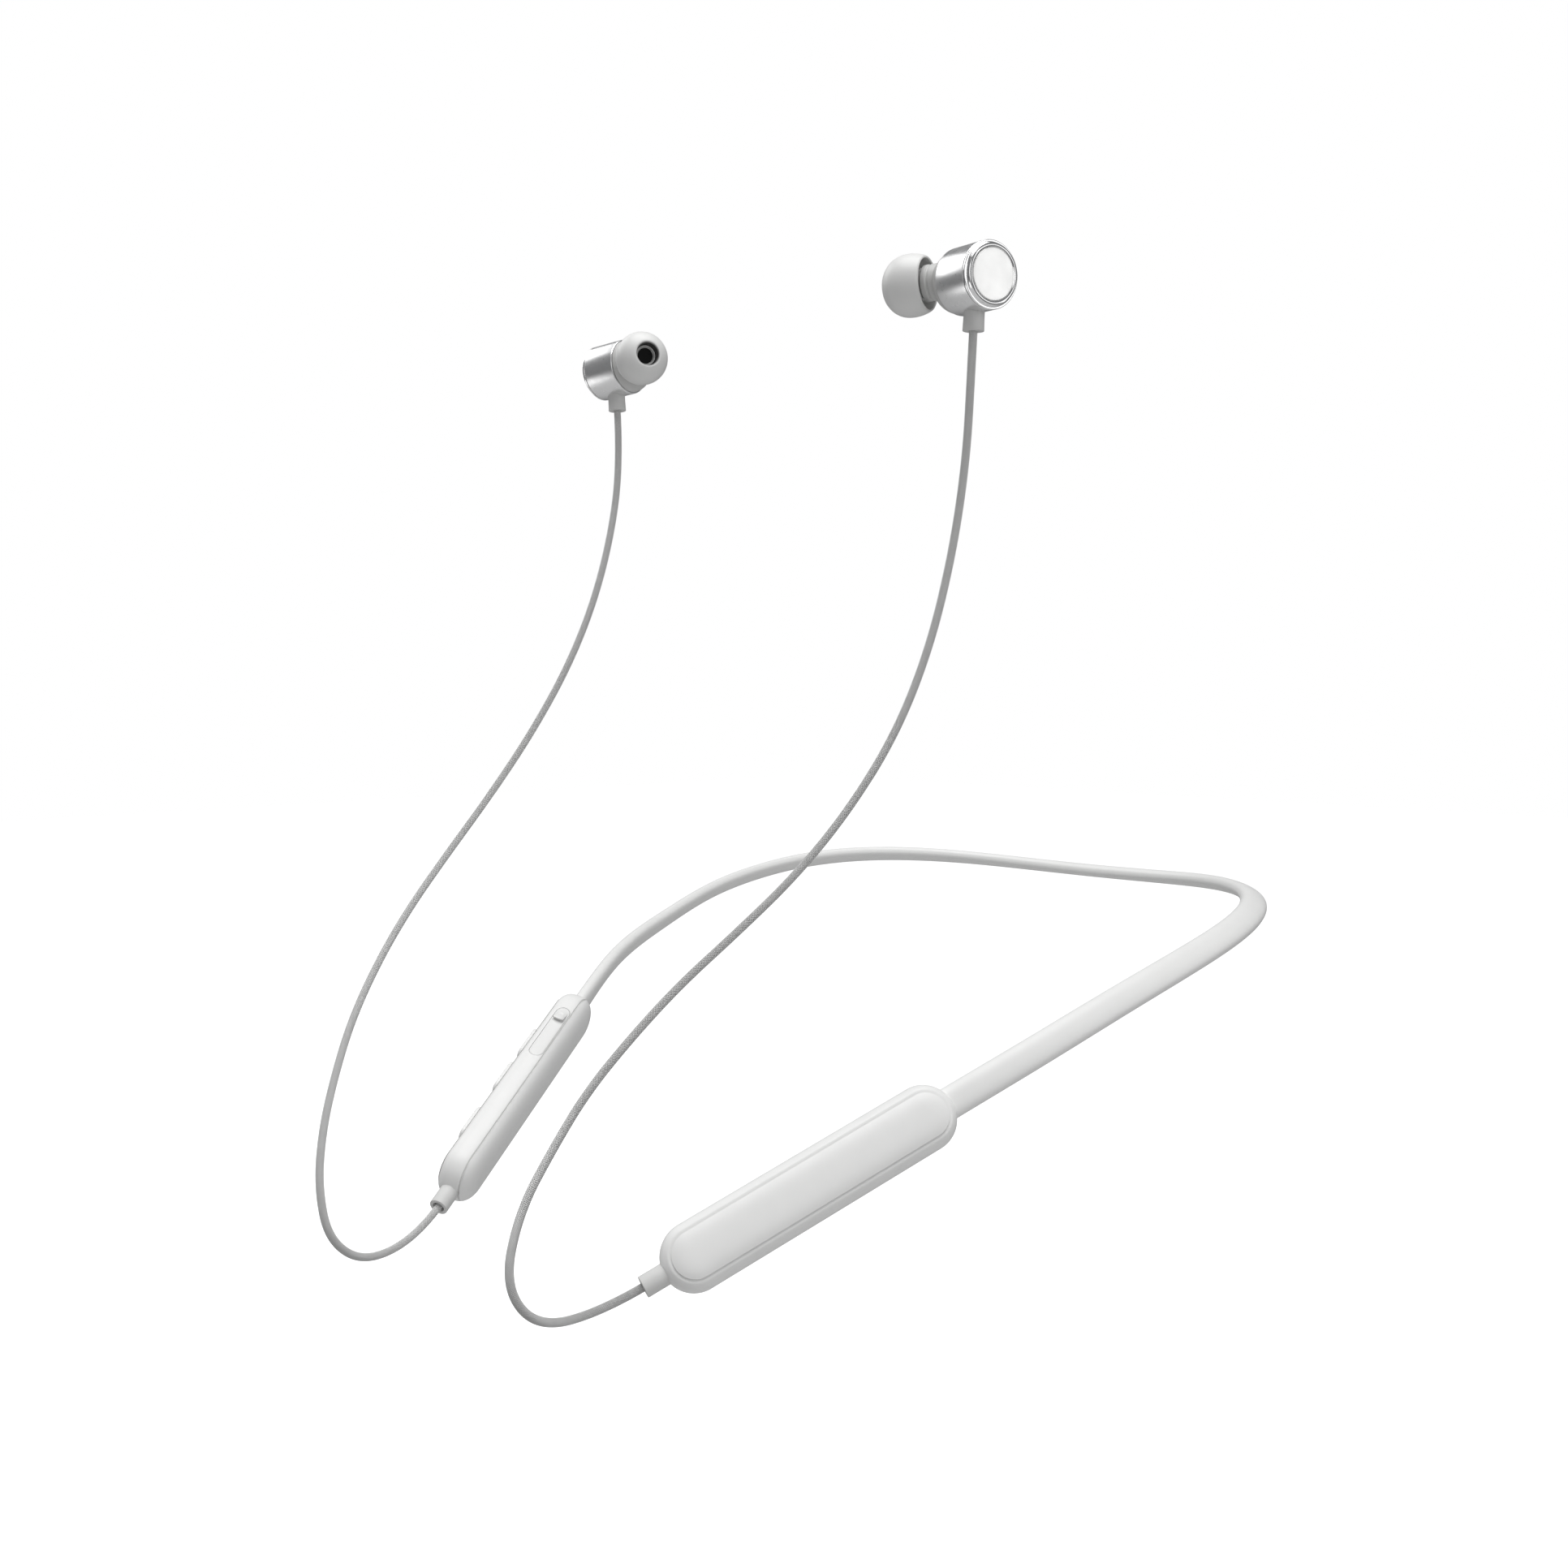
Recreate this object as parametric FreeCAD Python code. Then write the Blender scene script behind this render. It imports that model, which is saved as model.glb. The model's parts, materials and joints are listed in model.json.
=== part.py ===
"""Neckband earphones: a silicone neckband with a pod on each end and two corded earbuds.

Millimetres.  The wearer faces -Y, +Z is up, and +X is the wearer's left.  The origin is the
middle of the band's section at the nape.  The left pod holds the battery; the right pod holds
the circuit board, the buttons and the charging socket.  Each file in parts/ is one piece.
"""
import FreeCAD, Part
import math
import os

V = FreeCAD.Vector

# ---- Driving dimensions -------------------------------------------------------------------
# Band: a flat rounded section that follows a horseshoe and turns over as it nears the nape.
BAND_HEIGHT = 6.1
BAND_THICKNESS = 3.4
BAND_SQUARENESS = 2.5
BAND_TURN_AT_POD = {"left": 30.0, "right": 20.0}
BAND_TURN_AT_NAPE = 82.0
BAND_TURN_POWER = 1.25
BAND_STATIONS = 36
BAND_INSERT = 4.0
BAND_GAP = 0.20
WIRE_OFFSET = 1.25
WIRE_RADIUS = 0.60
CABLE_RADIUS = 0.70
BORE_CLEARANCE = 0.05
# Middle line of the left half of the band, from the pod to the nape.
BAND_LINE = [
    V(57.0, -132.2, -27.5), V(63.6, -115.9, -20.0), V(69.7, -94.0, -11.6), V(72.9, -73.5, -5.6),
    V(72.8, -56.0, -1.8), V(69.2, -41.0, 0.5), V(62.0, -28.0, 1.7), V(52.0, -17.5, 1.9),
    V(38.5, -8.0, 1.3), V(21.0, -1.8, 0.4), V(0.0, 0.0, 0.0),
]
# Middle line of the right half, from the nape to its pod, which hangs steeper than the left one
RIGHT_BAND_LINE = [
    V(-21.0, -1.8, 0.4), V(-38.5, -8.0, 1.3), V(-52.0, -17.5, 1.9), V(-62.0, -28.0, 1.7),
    V(-69.2, -41.0, 0.5), V(-72.8, -56.0, -1.8), V(-72.7, -73.5, -5.2), V(-68.7, -94.0, -10.5),
    V(-62.0, -115.9, -17.1), V(-55.0, -132.4, -25.6),
]
POD_AXIS = {"left": V(0.390, 0.820, 0.419), "right": V(-0.325, 0.814, 0.481)}

# Pods
POD_LENGTH = 61.0
POD_HEIGHT = 12.4
POD_DEPTH = 8.6
POD_SQUARENESS = 2.6
POD_WALL = 1.2
POD_OVERLAP = 0.5
# How far the frame reaches from the pod's middle plane, under the outer and the inner cover
OUTER_SEAM = 3.45
INNER_SEAM = 2.0
SEAM_WIDTH = 0.30
SEAM_DEPTH = 0.22
# Half height of the frame's window under the outer cover
WINDOW_HALF = 3.7

# Buttons on the right pod: centres along the pod, and the cap's size.
BUTTON_CENTRES = {"volume_down": -12.8, "play": 1.8, "volume_up": 13.2}
BUTTON_LENGTH = 9.2
BUTTON_WIDTH = 3.6
BUTTON_PROUD = 1.15
BUTTON_GAP = 0.08
BUTTON_TRAVEL = 0.35
SWITCH_Z = -1.7
SWITCH_HEIGHT = 1.0
# Outer face of the circuit board, from the pod's middle plane
BOARD_TOP = -1.3
BOARD_THICKNESS = 0.8

# Charging port and its cover
PORT_X = 12.0
PORT_LENGTH = 7.5
PORT_WIDTH = 2.5
PORT_DEPTH = 5.0
FLAP_START = 6.0
FLAP_END = 22.0
FLAP_WIDTH = 3.3
FLAP_THICKNESS = 0.75
FLAP_GAP = 0.07

# Strain reliefs and cords
CORD_DIAMETER = 1.6
POD_RELIEF_RADIUS = 2.0
POD_RELIEF_NECK = 1.5
POD_RELIEF_LENGTH = 4.1
RELIEF_MOUTH_RADIUS = 1.25
RELIEF_MOUTH_DEPTH = 1.5

# Earbuds, measured along the housing's axis from the line of the cord
HOUSING_RADIUS = 6.25
HOUSING_WALL = 0.8
HOUSING_BACK = -4.0
HOUSING_FRONT = 4.5
CORD_DROP = 9.6
BUD_RELIEF_RADIUS = 2.1
NOZZLE_ANGLE = {"left": 30.5, "right": 32.0}
NOZZLE_DROOP = {"left": 4.0, "right": 2.0}
NOZZLE_LIFT = {"left": 0.7, "right": -0.4}
COLLAR_RADIUS = 3.4
COLLAR_END = 7.2
NOZZLE_RADIUS = 2.3
NOZZLE_END = 13.4
NOZZLE_BORE = 1.75
TIP_CLEARANCE = 0.05
# Where each cord leaves its earbud, and how far that earbud is turned and tilted.
BUD_CORD_POINT = {"left": V(52.5, -120.9, 116.5), "right": V(-53.1, -121.3, 115.2)}
BUD_TURN = {"left": -14.0, "right": 9.0}
BUD_TILT = 4.0

# Routes of the cords, from below the earbud to the front of the pod.
CORD_ROUTES = {
    "left": [
        V(48.0, -117.0, 93.5), V(44.0, -116.0, 76.0), V(40.0, -118.0, 57.5),
        V(36.0, -123.5, 40.5), V(31.5, -132.5, 25.5), V(27.5, -143.0, 13.5),
        V(23.5, -154.5, 3.5), V(20.0, -166.0, -5.5), V(18.5, -176.5, -14.0),
        V(17.5, -186.0, -22.5), V(18.0, -194.0, -31.0), V(20.5, -203.0, -39.5),
        V(23.0, -208.0, -50.5), V(25.5, -203.0, -58.5),
    ],
    "right": [
        V(-52.3, -122.5, 92.5), V(-54.0, -126.5, 73.5), V(-56.5, -133.0, 56.0),
        V(-59.0, -142.5, 39.5), V(-60.5, -153.5, 25.0), V(-60.5, -165.0, 12.5),
        V(-58.0, -176.5, 1.5), V(-54.0, -186.5, -8.5), V(-49.0, -195.5, -18.5),
        V(-43.5, -202.5, -28.0), V(-37.5, -208.5, -36.5), V(-32.0, -212.5, -45.5),
        V(-29.0, -212.0, -55.5), V(-28.5, -204.5, -61.5),
    ],
}
CORD_END_RUN = 9.0
ARC_SHARE = 0.45


# ---- Small shape helpers --------------------------------------------------------------------
def placed(shape, placement):
    """A copy of the shape moved by a placement, with the move written into its geometry."""
    return shape.transformed(placement.toMatrix(), True)


def frame_placement(origin, along, up):
    """A frame at origin with X along the first direction and Z as near the second as it can be."""
    side = up.cross(along)
    return FreeCAD.Placement(origin, FreeCAD.Rotation(along, side, up, "XZY"))


def profile(start, *steps):
    """A closed outline in the XZ plane, at radius z from the X axis.

    A step that is one point is a straight edge to it, and a step that is a list of points is a
    smooth curve through them.
    """
    edges = []
    here = V(start[0], 0, start[1])
    first = here
    for step in steps:
        points = step if isinstance(step, list) else [step]
        vectors = [V(x, 0, radius) for x, radius in points]
        if len(vectors) == 1:
            edges.append(Part.LineSegment(here, vectors[0]).toShape())
        else:
            curve = Part.BSplineCurve()
            curve.interpolate([here] + vectors)
            edges.append(curve.toShape())
        here = vectors[-1]
    edges.append(Part.LineSegment(here, first).toShape())
    return Part.Face(Part.Wire(edges))


def turned(start, *steps):
    """The solid made by turning a closed outline about the X axis."""
    return profile(start, *steps).revolve(V(0, 0, 0), V(1, 0, 0), 360)


def rod(radius, x_start, x_end, y=0.0, z=0.0):
    """A round bar along X."""
    return Part.makeCylinder(radius, x_end - x_start, V(x_start, y, z), V(1, 0, 0))


def block(x_range, y_range, z_range, edge_radius=0.0, edge_axis=None):
    """A box between limits, with the edges along one axis rounded if a radius is given."""
    lows = V(x_range[0], y_range[0], z_range[0])
    solid = Part.makeBox(x_range[1] - x_range[0], y_range[1] - y_range[0],
                         z_range[1] - z_range[0], lows)
    if edge_radius:
        direction = {"X": V(1, 0, 0), "Y": V(0, 1, 0), "Z": V(0, 0, 1)}[edge_axis]
        edges = [e for e in solid.Edges if abs(e.tangentAt(e.FirstParameter).dot(direction)) > 0.9]
        solid = solid.makeFillet(edge_radius, edges)
    return solid


def pill(x_centre, length, width, y_range, z_centre=0.0):
    """A round-ended slab in the XZ plane, between two heights in Y."""
    half = (length - width) / 2
    low, high = y_range
    middle = block((x_centre - half, x_centre + half), (low, high),
                   (z_centre - width / 2, z_centre + width / 2))
    ends = [Part.makeCylinder(width / 2, high - low, V(x_centre + s * half, low, z_centre),
                              V(0, 1, 0)) for s in (-1, 1)]
    return middle.fuse(ends).removeSplitter()


def superellipse(half_width, half_height, squareness, angle):
    """A point on a rounded rectangle: squareness 2 is an ellipse, and more is squarer."""
    cosine, sine = math.cos(angle), math.sin(angle)
    power = 2.0 / squareness
    x = half_width * math.copysign(abs(cosine) ** power, cosine)
    y = half_height * math.copysign(abs(sine) ** power, sine)
    return x, y


# ---- Band ---------------------------------------------------------------------------------
def band_curve():
    """The middle line from inside the left pod, round the nape, to inside the right pod."""
    in_left_pod = BAND_LINE[0] - POD_AXIS["left"] * BAND_INSERT
    in_right_pod = RIGHT_BAND_LINE[-1] - POD_AXIS["right"] * BAND_INSERT
    curve = Part.BSplineCurve()
    curve.interpolate(Points=[in_left_pod] + BAND_LINE + RIGHT_BAND_LINE + [in_right_pod],
                      InitialTangent=POD_AXIS["left"], FinalTangent=POD_AXIS["right"] * -1.0)
    return curve


def section_frame(tangent, turn):
    """The section's long direction and its inward direction, turned about the tangent."""
    up = V(0, 0, 1) - tangent * tangent.z
    up.normalize()
    inward = up.cross(tangent)
    angle = math.radians(turn)
    long_way = up * math.cos(angle) + inward * math.sin(angle)
    short_way = inward * math.cos(angle) - up * math.sin(angle)
    return long_way, short_way


def band_turn(share):
    """The turn of the section at a share of the band's length, 0 and 1 at the two pods."""
    to_nape = 1.0 - abs(2.0 * share - 1.0)
    eased = 1.0 - (1.0 - to_nape) ** BAND_TURN_POWER
    at_pod = BAND_TURN_AT_POD["left" if share < 0.5 else "right"]
    return at_pod + (BAND_TURN_AT_NAPE - at_pod) * eased


def ring_wire(centre, long_way, short_way, half_long, half_short, squareness, count=20):
    """A closed smooth outline round a point, in the plane of two directions."""
    points = []
    for k in range(count):
        a, b = superellipse(half_long, half_short, squareness, 2 * math.pi * (k + 0.5) / count)
        points.append(centre + long_way * a + short_way * b)
    curve = Part.BSplineCurve()
    curve.interpolate(Points=points, PeriodicFlag=True)
    return Part.Wire([curve.toShape()])


def band_loft(half_long, half_short, squareness, offset=0.0):
    """A solid that follows the band, off its middle line along the section's long direction."""
    curve = band_curve()
    total = curve.length()
    wires = []
    for k in range(BAND_STATIONS + 1):
        share = k / BAND_STATIONS
        parameter = curve.parameterAtDistance(total * share, curve.FirstParameter)
        point = curve.value(parameter)
        tangent = curve.tangent(parameter)[0]
        long_way, short_way = section_frame(tangent, band_turn(share))
        centre = point + long_way * offset
        wires.append(ring_wire(centre, long_way, short_way, half_long, half_short, squareness))
    return Part.makeLoft(wires, True, False)


def band_parts():
    sleeve = band_loft(BAND_HEIGHT / 2, BAND_THICKNESS / 2, BAND_SQUARENESS)
    parts = {}
    inner = {"memory_wire": (WIRE_RADIUS, WIRE_OFFSET), "band_cable": (CABLE_RADIUS, -WIRE_OFFSET)}
    for name, (radius, offset) in inner.items():
        bore = radius + BORE_CLEARANCE
        sleeve = sleeve.cut(band_loft(bore, bore, 2.0, offset))
        parts[name] = band_loft(radius, radius, 2.0, offset)
    parts["band_sleeve"] = sleeve
    return parts


# ---- Pods ---------------------------------------------------------------------------------
def pod_frame(side):
    """The pod's frame: X runs back to the band, Z is the broad way, Y points inwards on the
    left pod and outwards on the right one."""
    end = BAND_LINE[0] if side == "left" else RIGHT_BAND_LINE[-1]
    along = POD_AXIS[side]
    onward = along if side == "left" else along * -1.0
    long_way, _ = section_frame(onward, BAND_TURN_AT_POD[side])
    return frame_placement(end + along * (POD_OVERLAP - POD_LENGTH / 2), along, long_way)


def pod_solid(inset=0.0):
    """A crowned bar with half-round ends, made smaller all round by the inset."""
    half_depth = POD_DEPTH / 2 - inset
    half_height = POD_HEIGHT / 2 - inset
    straight = POD_LENGTH - POD_HEIGHT
    points = []
    for k in range(13):
        height, depth = superellipse(half_height, half_depth, POD_SQUARENESS,
                                     math.pi / 2 - math.pi * k / 12)
        points.append(V(-straight / 2, depth, height))
    upper = Part.BSplineCurve()
    upper.interpolate(Points=points, InitialTangent=V(0, 0, 1), FinalTangent=V(0, 0, -1))
    lower = upper.toShape().mirror(V(0, 0, 0), V(0, 0, 1))
    section = Part.Face(Part.Wire([upper.toShape(), lower]))
    closing = Part.LineSegment(points[-1], points[0]).toShape()
    half_section = Part.Face(Part.Wire([upper.toShape(), closing]))
    bar = section.extrude(V(straight, 0, 0))
    front = half_section.revolve(V(-straight / 2, 0, 0), V(0, -1, 0), 180)
    back = half_section.revolve(V(-straight / 2, 0, 0), V(0, 1, 0), 180)
    back.translate(V(straight, 0, 0))
    return bar.fuse([front, back]).removeSplitter()


def slab(low, high):
    """All the space between two heights in Y, wider than a pod."""
    return block((-POD_LENGTH, POD_LENGTH), (low, high), (-POD_HEIGHT, POD_HEIGHT))


def pod_shells(outer_sign):
    """The outer cover, the frame between the seams, and the inner cover of a pod, hollow."""
    body = pod_solid()
    cavity = pod_solid(POD_WALL)
    outer, inner = outer_sign * OUTER_SEAM, -outer_sign * INNER_SEAM
    groove = SEAM_WIDTH / 2
    skin = pod_solid(SEAM_DEPTH)
    limits = {
        "frame": sorted((outer, inner)),
        "outer_cover": sorted((outer, outer_sign * POD_DEPTH)),
        "inner_cover": sorted((inner, -outer_sign * POD_DEPTH)),
    }
    grooves = [slab(seam - groove, seam + groove).cut(skin) for seam in (outer, inner)]
    window = pill(0.0, POD_LENGTH - POD_HEIGHT + 2 * WINDOW_HALF, 2 * WINDOW_HALF,
                  sorted((0.0, outer)))
    band_slot = ring_wire(V(POD_LENGTH / 2 - BAND_INSERT - 3.0, 0, 0), V(0, 0, 1), V(0, 1, 0),
                          BAND_HEIGHT / 2 + BAND_GAP, BAND_THICKNESS / 2 + BAND_GAP,
                          BAND_SQUARENESS)
    band_slot = Part.Face(band_slot).extrude(V(BAND_INSERT + 6.0, 0, 0))
    relief_hole = rod(POD_RELIEF_NECK, -POD_LENGTH, -POD_LENGTH / 2 + 4.0)
    tools = [cavity, window, band_slot, relief_hole] + grooves
    shells = {}
    for name, (low, high) in limits.items():
        shells[name] = body.common(slab(low, high)).cut(tools)
    return shells


def pod_relief():
    """A short rubber tube seated on the pod's front, with a neck through the wall, a flange
    inside and an open mouth."""
    front = -POD_LENGTH / 2
    inside = front + 2.4
    mouth = front - POD_RELIEF_LENGTH
    radius = POD_RELIEF_RADIUS
    sleeve = turned((mouth + RELIEF_MOUTH_DEPTH, 0), (mouth + RELIEF_MOUTH_DEPTH, RELIEF_MOUTH_RADIUS),
                    (mouth, RELIEF_MOUTH_RADIUS), (mouth, radius - 0.15), (mouth + 0.15, radius),
                    (front + 1.5, radius), (front + 1.5, 0)).cut(pod_solid())
    neck = rod(POD_RELIEF_NECK, front - 1.0, inside + 0.4)
    flange = rod(radius + 0.35, inside, inside + 0.8)
    return sleeve.fuse([neck, flange]).removeSplitter()


def battery_pod_parts():
    parts = {f"battery_pod_{name}": shape for name, shape in pod_shells(-1).items()}
    parts["battery_cell"] = block((-19.0, 17.0), (-1.7, 2.5), (-4.2, 4.2), 1.3, "X")
    parts["battery_foam_pad"] = block((-17.0, 15.0), (-2.3, -1.7), (-3.4, 3.4))
    parts["protection_board"] = block((-25.5, -19.6), (-0.4, 0.4), (-3.4, 3.4))
    parts["battery_pod_relief"] = pod_relief()
    return parts


def port_cover():
    """A rubber flap set in the frame's top edge, with a raised fingernail tab at its free end."""
    top = POD_HEIGHT / 2
    middle = (FLAP_START + FLAP_END) / 2
    flap = pill_on_edge(middle, FLAP_END - FLAP_START, FLAP_WIDTH, top - FLAP_THICKNESS, top)
    flap = flap.common(pod_solid())
    tab_start = FLAP_END - 4.6
    tab_end = FLAP_END - 0.6
    stem = block((tab_start + 1.2, tab_end - 0.6), (-1.1, 1.1), (top - 0.1, top + 0.75))
    lip = block((tab_start, tab_end), (-1.25, 1.25), (top + 0.45, top + 1.0), 0.25, "X")
    return flap.fuse([stem, lip]).removeSplitter()


def pill_on_edge(x_centre, length, width, low, high):
    """A round-ended slab in the XY plane, between two heights in Z."""
    lying = pill(x_centre, length, width, (-high, -low))
    return placed(lying, FreeCAD.Placement(V(0, 0, 0), FreeCAD.Rotation(V(1, 0, 0), 90)).inverse())


def button_cap(x_centre):
    """A long button that stands out of the outer cover, with a foot over its switch."""
    face = POD_DEPTH / 2 + BUTTON_PROUD
    inside = POD_DEPTH / 2 - POD_WALL
    rim = pill(x_centre, BUTTON_LENGTH, BUTTON_WIDTH, (inside - 0.9, face))
    top_edges = [e for e in rim.Edges if min(v.Point.y for v in e.Vertexes) > face - 0.01]
    cap = rim.makeFillet(0.3, top_edges)
    skirt = pill(x_centre, BUTTON_LENGTH + 0.9, BUTTON_WIDTH + 0.9,
                 (inside - 1.3, inside - BUTTON_TRAVEL - 0.15))
    foot_low = BOARD_TOP + SWITCH_HEIGHT + BUTTON_TRAVEL + 0.05
    foot = Part.makeCylinder(0.7, inside - 1.0 - foot_low, V(x_centre, foot_low, SWITCH_Z),
                             V(0, 1, 0))
    return cap.fuse([skirt, foot]).removeSplitter()


def control_pod_parts():
    shells = pod_shells(1)
    top = POD_HEIGHT / 2
    flap_recess = pill_on_edge((FLAP_START + FLAP_END) / 2, FLAP_END - FLAP_START + 2 * FLAP_GAP,
                               FLAP_WIDTH + 2 * FLAP_GAP, top - FLAP_THICKNESS, top + 2.0)
    port_hole = block((PORT_X - PORT_LENGTH / 2 - 0.1, PORT_X + PORT_LENGTH / 2 + 0.1),
                      (-PORT_WIDTH / 2 - 0.1, PORT_WIDTH / 2 + 0.1), (0.0, top + 1.0))
    microphone_x = -20.0
    microphone_hole = Part.makeCylinder(0.5, 4.0, V(microphone_x, 0, -top - 1.0), V(0, 0, 1))
    shells["frame"] = shells["frame"].cut([flap_recess, port_hole, microphone_hole])
    for x in BUTTON_CENTRES.values():
        window = pill(x, BUTTON_LENGTH + 2 * BUTTON_GAP, BUTTON_WIDTH + 2 * BUTTON_GAP,
                      (INNER_SEAM, POD_DEPTH))
        shells["outer_cover"] = shells["outer_cover"].cut(window)
    parts = {f"control_pod_{name}": shape for name, shape in shells.items()}

    board_low = BOARD_TOP - BOARD_THICKNESS
    parts["circuit_board"] = block((-23.0, 22.0), (board_low, BOARD_TOP), (-4.0, 3.9), 1.0, "Y")
    parts["bluetooth_module"] = block((-7.0, 4.0), (board_low - 0.55, board_low), (-3.0, 3.0),
                                      0.4, "Y")
    port_top = top - FLAP_THICKNESS - 0.05
    socket = block((PORT_X - PORT_LENGTH / 2, PORT_X + PORT_LENGTH / 2),
                   (-PORT_WIDTH / 2, PORT_WIDTH / 2), (port_top - PORT_DEPTH, port_top), 0.5, "Z")
    mouth = block((PORT_X - PORT_LENGTH / 2 + 0.3, PORT_X + PORT_LENGTH / 2 - 0.3),
                  (-PORT_WIDTH / 2 + 0.3, PORT_WIDTH / 2 - 0.3),
                  (port_top - PORT_DEPTH + 0.5, port_top + 1.0), 0.3, "Z")
    tongue = block((PORT_X - 2.2, PORT_X + 2.2), (-0.3, 0.3),
                   (port_top - PORT_DEPTH + 0.4, port_top - 0.8))
    parts["charging_socket"] = socket.cut(mouth).fuse(tongue)
    parts["microphone"] = block((microphone_x - 1.6, microphone_x + 1.6),
                                (BOARD_TOP, BOARD_TOP + 1.0), (-4.1, -1.6))
    for name, x in BUTTON_CENTRES.items():
        body = block((x - 1.5, x + 1.5), (BOARD_TOP, BOARD_TOP + 0.7),
                     (SWITCH_Z - 1.5, SWITCH_Z + 1.5))
        dome = Part.makeCylinder(0.9, SWITCH_HEIGHT - 0.7, V(x, BOARD_TOP + 0.7, SWITCH_Z),
                                 V(0, 1, 0))
        parts[f"{name}_switch"] = body.fuse(dome).removeSplitter()
        parts[f"{name}_button"] = button_cap(x)
    parts["port_cover"] = port_cover()
    parts["control_pod_relief"] = pod_relief()
    return parts


# ---- Earbuds --------------------------------------------------------------------------------
def bud_frame(side):
    """The earbud's frame: X points at the ear along the housing, and Z is up the cord."""
    toward_ear = V(-1, 0, 0) if side == "left" else V(1, 0, 0)
    turn = FreeCAD.Rotation(V(0, 0, 1), BUD_TURN[side])
    level = turn.multVec(toward_ear)
    tilt = math.radians(BUD_TILT)
    axis = level * math.cos(tilt) + V(0, 0, math.sin(tilt))
    up = V(0, 0, math.cos(tilt)) - level * math.sin(tilt)
    return frame_placement(BUD_CORD_POINT[side] + up * CORD_DROP, axis, up)


def nozzle_frame(side):
    """The nozzle's frame in the earbud's: it leans forward of the housing, to the face."""
    sign = 1 if side == "left" else -1
    lean = FreeCAD.Rotation(V(0, 0, 1), sign * NOZZLE_ANGLE[side])
    droop = FreeCAD.Rotation(V(0, 1, 0), NOZZLE_DROOP[side])
    return FreeCAD.Placement(V(HOUSING_FRONT, 0, NOZZLE_LIFT[side]), lean.multiply(droop))


def ear_tip():
    """A soft mushroom: a tube on the nozzle and a thin skirt folded back from its front."""
    inner = NOZZLE_RADIUS + TIP_CLEARANCE
    return turned((7.5, inner), (7.5, 3.05), (12.4, 3.05),
                  [(12.9, 3.4), (12.6, 4.1), (11.4, 4.85), (9.4, 5.2), (6.95, 4.75)],
                  (6.75, 5.15),
                  [(8.6, 5.7), (10.6, 5.9), (12.8, 5.45), (14.4, 4.4), (15.2, 3.2)],
                  [(15.2, 2.7), (14.9, 2.2), (14.2, 2.0)],
                  (13.6, 2.0), (13.6, inner))


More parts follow.
